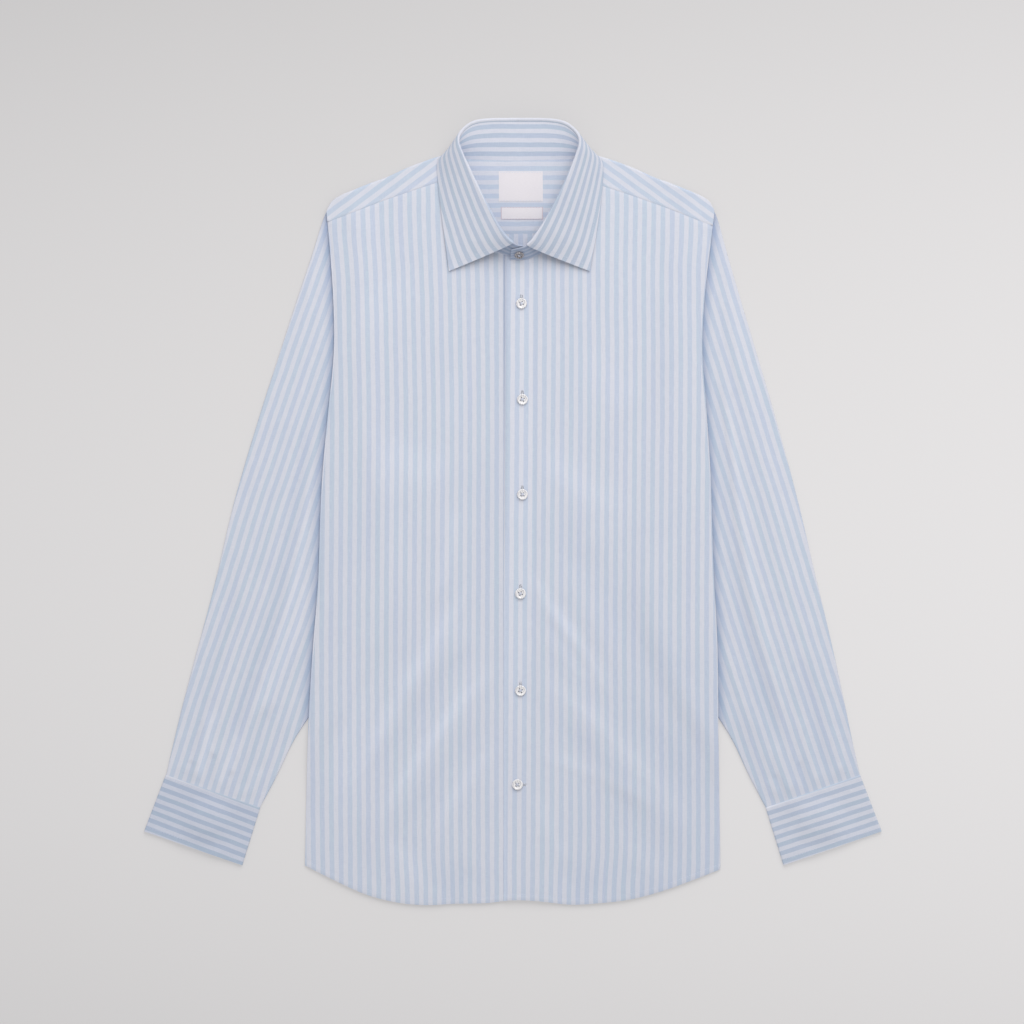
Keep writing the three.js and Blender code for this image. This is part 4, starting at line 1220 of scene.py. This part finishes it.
def cuff_path():
    """Place across and height of a cuff's middle, all round, lapping under its own start."""
    half = STIFF_CLOTH / 2
    lap_high = STIFF_CLOTH + SEAM_GAP + half
    angles = np.linspace(0, math.pi, CUFF_FOLD_STEPS + 2)[1:-1]
    bulge = (CUFF_GAP / 2 + half) * np.sin(angles)
    rise = lerp(half, CUFF_LOW, (1 - np.cos(angles)) / 2)
    lap = np.arange(CUFF_LAP_END, -1e-6, -1 / CUFF_STEPS)
    over = np.arange(0, CUFF_STATIONS + 1e-6, 1 / CUFF_STEPS)
    under = np.arange(CUFF_STATIONS, CUFF_LAP_START - 1e-6, -1 / CUFF_STEPS)
    fallen = ease(np.clip(CUFF_LAP_START - lap, 0, 2) / 2)
    across = np.concatenate([
        cuff_station(lap), cuff_station(0) - bulge, cuff_station(over),
        cuff_station(CUFF_STATIONS) + bulge, cuff_station(under),
    ])
    height = np.concatenate([
        lerp(lap_high, half, fallen), rise, cuff_upper(over), rise[::-1], half + 0 * under,
    ])
    return across, height


def cuff_frame(side):
    outer, _, width = sleeve_line(side, np.array(float(LAST_SECTION)))
    along = np.array([side * math.sin(CUFF_SLANT), -math.cos(CUFF_SLANT)])
    across = np.array([-side * math.cos(CUFF_SLANT), -math.sin(CUFF_SLANT)])
    return outer + across * (width - CUFF_WIDTH) / 2, along, across


def cuff_grid(side):
    start, along, across = cuff_frame(side)
    path_across, path_z = cuff_path()
    depth = np.linspace(-CUFF_OVERLAP, CUFF_DEPTH, 36)[:, None]
    flare = CUFF_FLARE * depth / CUFF_DEPTH * (path_across / CUFF_WIDTH - 0.5)
    down = along * (SEAM_GAP + depth)[..., None]
    place = start + down + across * (path_across + flare)[..., None]
    lap = cuff_station((CUFF_LAP_START + CUFF_LAP_END) / 2)
    button = start + along * CUFF_BUTTON_DEPTH + across * lap
    reach = np.linalg.norm(place - button, axis=-1)
    rise = CUFF_BUTTON_RISE * (1 - ease((reach - BUTTON_DIAMETER / 2) / CUFF_BUTTON_ROUND))
    ends = ease(depth / 12) * ease((CUFF_DEPTH - depth) / 12)
    wave = 0.25 * np.sin(path_across / 9 + depth / 16) * ends
    z = path_z + rise + np.where(path_z > STIFF_CLOTH * 1.6, wave, 0)
    return np.concatenate([place, z[..., None]], axis=-1), depth + 0 * path_across


def make_cuffs():
    first_top = CUFF_LAP_END * CUFF_STEPS + 1 + CUFF_FOLD_STEPS
    path_across = cuff_path()[0]
    for side, name in SIDE_NAMES.items():
        grid, depth = cuff_grid(side)
        first_blue, tilt = CUFF_STRIPES[side]
        tilted = depth - first_blue - tilt * (path_across - CUFF_WIDTH / 2)
        # Painted shade on the cuff, less a painted highlight along its seam edge
        seam_highlight = CUFF_SEAM_HIGHLIGHT * ease(1 - (depth + CUFF_OVERLAP) / CUFF_SEAM_WIDTH)
        shade = CUFF_SHADE[side] - seam_highlight
        part = panel(grid, tilted / CUFF_STRIPE_PERIOD, path_across, shade)
        cloth_sheet(f"cuff_{name}", [part], DOUBLED_COTTON, turn=side == LEFT)
        add_cuff_stitches(name, grid[:, first_top:first_top + CUFF_STATIONS * CUFF_STEPS + 1])


def add_cuff_stitches(name, top):
    rows, columns = top.shape[:2]
    end_row = rows - 1 - STITCH_INSET / CUFF_DEPTH * rows
    for label, row in (("end", end_row), ("seam", SEAM_STITCH_ROW)):
        path, normals = on_grid(top, np.full(300, row), np.linspace(1, columns - 2, 300))
        normals = facing_up(normals)
        path = path + normals * SHOWN_STIFF / 2
        stitch_row(f"cuff_{label}_stitches_{name}", path, normals)


# Collar

def collar_lines(side, section):
    """Points of the neck seam, the fold and the leaf's edge at a section on one side."""
    shift = -side * LAP_SHIFT * float(ease(section - LEAF_END + 1))

    def point(rows, raised):
        across, y, z = (float(read(rows, "section", section, name)) for name in ("across", "y", "z"))
        y = y + raised
        return np.array([float(lean(y)) + side * across, y, z])

    return point(COLLAR_SEAM, shift), point(COLLAR_FOLD, shift), point(COLLAR_EDGE, 0)


def collar_directions(side, section):
    """The band's rise from seam to fold, and the way out from the neck at right angles to it."""
    seam, fold, _ = collar_lines(side, section)
    _, before, _ = collar_lines(side, max(section - 0.5, 0))
    _, after, _ = collar_lines(side, min(section + 0.5, BAND_END))
    rise = unit(fold - seam)
    along = np.array([side, 0, 0]) if section == 0 else after - before
    return rise, unit(side * np.cross(rise, along))


def band_point(side, section, share):
    seam, fold, _ = collar_lines(side, section)
    rise, _ = collar_directions(side, section)
    foot = seam - rise * float(band_sink(section))
    return lerp(foot, fold - rise * (ROLL_START - 0.4), share)


def band_sink(section):
    """How far the band's foot goes in below the neck seam."""
    return lerp(BACK_SINK, BAND_SINK, ease((section - 4) / 3))


def leaf_line(side, section):
    """Points over a section of the leaf: up from the band, over the roll and down to its edge."""
    _, fold, edge = collar_lines(side, section)
    rise, out = collar_directions(side, section)

    def around(up, away):
        return fold + rise * up + out * away

    points = [around(-ROLL_START, 0), around(-ROLL_START * 0.65, 0)]
    for angle in np.linspace(math.pi, 0, 9):
        points.append(around(-0.8 + ROLL_RADIUS * math.sin(angle), ROLL_RADIUS * (1 + math.cos(angle))))
    start = points[-1]
    fall = edge - start
    length = np.linalg.norm(fall)
    drop = -0.2 * length * rise
    drop[1] *= 1 - float(ease((section - LEAF_STRAIGHT) / (LEAF_END - LEAF_STRAIGHT)))
    bend = start + fall * 0.2 + drop + out * LEAF_BELLY
    for t in np.linspace(0, 1, 37)[1:]:
        points.append((1 - t) ** 2 * start + 2 * t * (1 - t) * bend + t * t * edge)
    return np.array(points)


def collar_sections(end, count):
    """Sides and sections from the wearer's right end of the collar to the left one."""
    steps = np.linspace(-end, end, 2 * count + 1)
    return [(RIGHT if s < 0 else LEFT, abs(float(s))) for s in steps]


def run_along(line):
    """The distance along a line of a grid from its first row to each row."""
    steps = np.linalg.norm(np.diff(line, axis=0, prepend=line[:1]), axis=-1)
    return np.cumsum(steps, axis=0)


def make_band():
    sections = collar_sections(BAND_END, 90)
    band = np.array([
        [band_point(side, section, share) for share in np.linspace(0, 1, 14)]
        for side, section in sections
    ])
    places = np.array([section for _, section in sections])[:, None]
    heights = np.linalg.norm(band - band[:, :1], axis=-1)
    sunk = band_sink(places) - BAND_SINK
    stripes = lerp(*BAND_STRIPES, (heights - sunk) / (heights[:, -1:] - sunk))
    # Painted light on the band behind the neck, turning to painted shade under the leaves at its front
    # ends
    shade = lerp(*BAND_SHADE, ease((places - 9.4) / 1.2))
    part = panel(band, stripes, run_along(band[:, :1]), shade)
    cloth_sheet("collar_band", [part], DOUBLED_COTTON)


def make_leaf():
    sections = collar_sections(LEAF_END, 96)
    leaf = np.array([leaf_line(side, section) for side, section in sections])
    steps = np.linalg.norm(np.diff(leaf, axis=1), axis=-1)
    walked = np.concatenate([np.zeros((len(leaf), 1)), np.cumsum(steps, axis=1)], axis=1)
    from_fold = walked - walked[:, TOP_OF_ROLL:TOP_OF_ROLL + 1]
    share = from_fold / from_fold[:, -1:]
    fold, edge = (
        np.array([
            read(LEAF_STRIPES, "section", section, f"{SIDE_NAMES[side]}_{end}")
            for side, section in sections
        ])[:, None]
        for end in ("fold", "edge")
    )
    shade = np.array([LEAF_SHADE[side] for side, _ in sections])[:, None]
    stripes = np.where(share > 0, lerp(fold, edge, share), fold + from_fold / STRIPE_PERIOD)
    part = panel(leaf, stripes, run_along(leaf[:, -8:-7]), shade)
    cloth_sheet("collar_leaf", [part], DOUBLED_COTTON)
    add_leaf_stitches(leaf, walked)


def add_leaf_stitches(leaf, walked):
    """A row of stitches in from the leaf's outer edge, and one in from each point edge."""
    rows, columns = leaf.shape[:2]
    place = np.linspace(2.5, rows - 3.5, 900)
    lines = [walked[int(round(row))] for row in place]
    inset = [np.interp(line[-1] - STITCH_INSET, line, np.arange(columns)) for line in lines]
    add_leaf_row("leaf_edge_stitches", leaf, place, np.array(inset))
    for name, edge_row, inwards in (("right", 0, 1), ("left", rows - 1, -1)):
        column = np.linspace(TOP_OF_ROLL + 6, columns - 4, 200)
        spacing = np.linalg.norm(leaf[edge_row] - leaf[edge_row + inwards], axis=-1)
        depth = STITCH_INSET / np.interp(column, np.arange(columns), spacing)
        add_leaf_row(f"leaf_point_stitches_{name}", leaf, edge_row + inwards * depth, column)


def add_leaf_row(name, leaf, rows, columns):
    path, normals = on_grid(leaf, rows, columns)
    normals = facing_up(normals)
    stitch_row(name, path + normals * SHOWN_STIFF / 2, normals)


# Labels

def make_label(node, size, material):
    across = np.linspace(-0.5, 0.5, 28) * size["width"]
    up = (np.linspace(-0.5, 0.5, 18) * size["height"])[:, None]
    y = size["y"] + up + 0 * across
    x = lean(y) + size["across"] + across
    out_across, out_up = 2 * across / size["width"], 2 * up / size["height"]
    bow = 0.25 * (1 - out_across**2) * (1 - out_up**2)
    z = CLOTH + LABEL_LIFT + LABEL_CLOTH + bow - 0.1 * out_across**6 * out_up**6
    grid = np.stack([x, y, z], axis=-1)
    cloth_sheet(node, [panel(grid, across / STRIPE_PERIOD, up)], material)
    for end, row in (("top", 16.4), ("bottom", 0.6)):
        path, normals = on_grid(grid, np.full(60, row), np.linspace(0.6, 26.4, 60))
        stitch_row(f"{node}_{end}_stitches", path, facing_up(normals))


def make_labels():
    make_label("label_main", MAIN_LABEL, label_weave("plain label", None))
    border = (SMALL_LABEL["width"], SMALL_LABEL["height"])
    make_label("label_small", SMALL_LABEL, label_weave("bordered label", border))


# Buttons

def button_mesh(diameter, material):
    """A dished button with a rounded rim and four holes, its back at the origin and its face up."""
    radius = diameter / 2
    profile = [
        (radius - 1, 0), (radius - 0.35, 0.25), (radius, 0.9), (radius - 0.1, 1.5),
        (radius - 0.5, BUTTON_THICKNESS - 0.12), (radius - 1, BUTTON_THICKNESS),
        (radius - 1.5, BUTTON_THICKNESS - 0.15), (radius - 2.1, BUTTON_THICKNESS - 0.65),
        (radius - 2.6, BUTTON_THICKNESS - 0.75),
    ]
    segments = 56
    angles = [2 * math.pi * k / segments for k in range(segments)]
    points = [
        (reach * math.cos(angle), reach * math.sin(angle), height)
        for reach, height in profile
        for angle in angles
    ]
    faces = tube_faces(len(profile), segments).tolist()
    faces.append(list(reversed(range(segments))))
    faces.append([(len(profile) - 1) * segments + k for k in range(segments)])
    return with_holes(small_mesh("button", points, faces), material)


def with_holes(mesh, material):
    """Cuts four holes through a button and returns the mesh that is left."""
    blank = add_object("button blank", mesh)
    drills = []
    half = BUTTON_HOLE_SPACING / 2 * TO_METRES
    for x, y in ((-half, -half), (-half, half), (half, -half), (half, half)):
        bpy.ops.mesh.primitive_cylinder_add(
            vertices=20, radius=BUTTON_HOLE / 2 * TO_METRES, depth=12 * TO_METRES, location=(x, y, 0)
        )
        drills.append(bpy.context.object)
        cut = blank.modifiers.new("hole", "BOOLEAN")
        cut.operation = "DIFFERENCE"
        cut.object = drills[-1]
        cut.solver = "EXACT"
    bevel = blank.modifiers.new("soft edges", "BEVEL")
    bevel.width = 0.00012
    bevel.segments = 2
    bevel.limit_method = "ANGLE"
    bevel.angle_limit = math.radians(50)
    shown = blank.evaluated_get(bpy.context.evaluated_depsgraph_get())
    result = bpy.data.meshes.new_from_object(shown)
    for leftover in drills + [blank]:
        bpy.data.objects.remove(leftover)
    smooth(result)
    result.materials.clear()
    result.materials.append(material)
    return result


def thread_cross(height):
    """Threads through a button's holes: two crossed pairs of strands, a little arched."""
    points, faces = [], []
    reach = BUTTON_HOLE_SPACING / 2 * math.sqrt(2)
    rings, sides = 11, 8
    angles = [2 * math.pi * k / sides for k in range(sides)]
    for x, y in ((1, 1), (1, -1)):
        line = np.array([x, y]) / math.sqrt(2)
        side = np.array([-line[1], line[0]])
        for offset in (-0.28, 0.28):
            faces.extend(tube_faces(rings, sides, len(points)).tolist())
            for share in np.linspace(-1, 1, rings):
                middle = line * reach * share + side * offset
                rise = height + 0.55 * (1 - share**4) - 0.5 * abs(share) ** 8
                for angle in angles:
                    place = middle + side * BUTTON_THREAD * math.cos(angle)
                    points.append((*place, rise + BUTTON_THREAD * math.sin(angle)))
    mesh = small_mesh("button thread", points, faces)
    smooth(mesh)
    mesh.materials.append(THREAD)
    return mesh


def place_button(node, mesh, thread, turn, spin):
    """Puts a button where its node is, with its face along turn's +Z."""
    low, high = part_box(node)
    half = turn @ Vector((0, 0, BUTTON_THICKNESS / 2 * TO_METRES))
    matrix = (turn @ Matrix.Rotation(spin, 3, "Z")).to_4x4()
    matrix.translation = (Vector(low) + Vector(high)) / 2 - half
    for name, data in ((f"{node}_pearl", mesh), (f"{node}_thread", thread)):
        piece = add_object(name, data)
        piece.matrix_world = matrix
        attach(piece, "root")
        if data is mesh:
            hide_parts(node)


def make_buttons():
    mesh = button_mesh(BUTTON_DIAMETER, PEARL)
    thread = thread_cross(BUTTON_THICKNESS - 0.75)
    for i in range(1, 7):
        place_button(f"button_{i}", mesh, thread, Matrix.Identity(3), 0.35 * math.sin(i * 2.1))
    turned_over = Matrix.Rotation(math.pi, 3, "X")
    for side in SIDE_NAMES.values():
        place_button(f"button_cuff_{side}", mesh, thread, turned_over, 0.4)
    _, out = collar_directions(LEFT, LEAF_END + 0.5)
    facing = Vector((0, 0, 1)).rotation_difference(Vector(out)).to_matrix()
    small = button_mesh(COLLAR_BUTTON_DIAMETER, SHADED_PEARL)
    place_button("button_collar", small, thread, facing, 0.2)


# Buttonholes

def make_buttonholes():
    """Stitched slots in the overlapping front: upright ones, and a level one at the bottom."""
    for i in range(1, 7):
        low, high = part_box(f"button_{i}")
        middle = (np.array(low) + np.array(high)) / 2 / TO_METRES + BOX_MIDDLE
        along = np.array([1.0, 0]) if i == 6 else np.array([0, 1.0])
        add_buttonhole(f"buttonhole_{i}", middle[:2] + BUTTONHOLE_SHIFT * along, along)


def add_buttonhole(name, centre, along):
    """A ring of close zigzag stitches round a slot."""
    side = np.array([-along[1], along[0]])
    stitches, sides = 220, 6
    straight = BUTTONHOLE_LENGTH - BUTTONHOLE_WIDTH
    perimeter = 2 * straight + math.pi * BUTTONHOLE_WIDTH * 0.7
    reaches = (0.35, BUTTONHOLE_WIDTH / 2)
    path = [
        slot_point(k / stitches * perimeter, straight, reaches[k % 2], perimeter)
        for k in range(stitches)
    ]
    path = np.array(path + path[:1])
    place = centre + path[:, :1] * along + path[:, 1:] * side
    x, y = place[:, 0], place[:, 1]
    z = front_height(x, y) + CLOTH + small_folds(x, y) + overlap_height(x) + 0.06
    points = np.stack([x, y, z], axis=-1)
    points[1::2, 2] -= 0.08
    tangent = unit(np.roll(points, -1, axis=0) - points + 1e-9)
    up = np.array([0, 0, 1.0])
    across = unit(np.cross(tangent, up))
    angles = np.arange(sides)[:, None] * 2 * np.pi / sides
    spokes = np.cos(angles) * across[:, None] + np.sin(angles) * up
    rings = points[:, None] + BUTTONHOLE_THREAD * spokes
    piece = make_object(name, rings.reshape(-1, 3), tube_faces(len(points), sides))
    piece.data.materials.append(PALE_THREAD)
    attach(piece, "root")


def slot_point(walked, straight, reach, perimeter):
    """A point round a slot, that far out from its middle line, a distance along its outline."""
    round_length = (perimeter - 2 * straight) / 2
    if walked < straight:
        return (walked - straight / 2, -reach)
    walked -= straight
    if walked < round_length:
        angle = math.pi * walked / round_length - math.pi / 2
        return (straight / 2 + reach * math.cos(angle), reach * math.sin(angle))
    walked -= round_length
    if walked < straight:
        return (straight / 2 - walked, reach)
    walked -= straight
    angle = math.pi * walked / round_length + math.pi / 2
    return (-straight / 2 + reach * math.cos(angle), reach * math.sin(angle))


# Stage

def make_stage():
    scene = bpy.context.scene
    scene.view_settings.view_transform = "Standard"
    scene.view_settings.look = "None"

    bpy.ops.mesh.primitive_plane_add(size=12, location=(0, 0, -0.0002))
    floor = bpy.context.object
    floor.name = "floor"
    floor.data.materials.append(floor_paper())

    camera = bpy.data.cameras.new("camera")
    camera.sensor_width = SENSOR_WIDTH
    camera.lens = SENSOR_WIDTH * CAMERA_HEIGHT / IMAGE_WIDTH
    camera.clip_end = 100
    scene.camera = add_object("camera", camera)
    scene.camera.location = to_frame((*CAMERA_CENTRE, CAMERA_HEIGHT))

    world = bpy.data.worlds.new("studio")
    world.use_nodes = True
    background = world.node_tree.nodes["Background"]
    background.inputs["Color"].default_value = SKY_COLOUR
    background.inputs["Strength"].default_value = SKY_STRENGTH
    scene.world = world

    add_softbox("key", **KEY_LIGHT)


def add_softbox(name, place, size, power):
    """A square area light that faces the middle of the shirt."""
    lamp = bpy.data.lights.new(name, "AREA")
    lamp.shape = "SQUARE"
    lamp.size = size
    lamp.energy = power
    holder = add_object(name, lamp)
    holder.location = place
    holder.rotation_euler = (-Vector(place)).to_track_quat("-Z", "Y").to_euler()


make_body()
make_yoke()
make_sleeves()
make_cuffs()
make_band()
make_leaf()
make_labels()
make_buttons()
make_buttonholes()
make_stage()
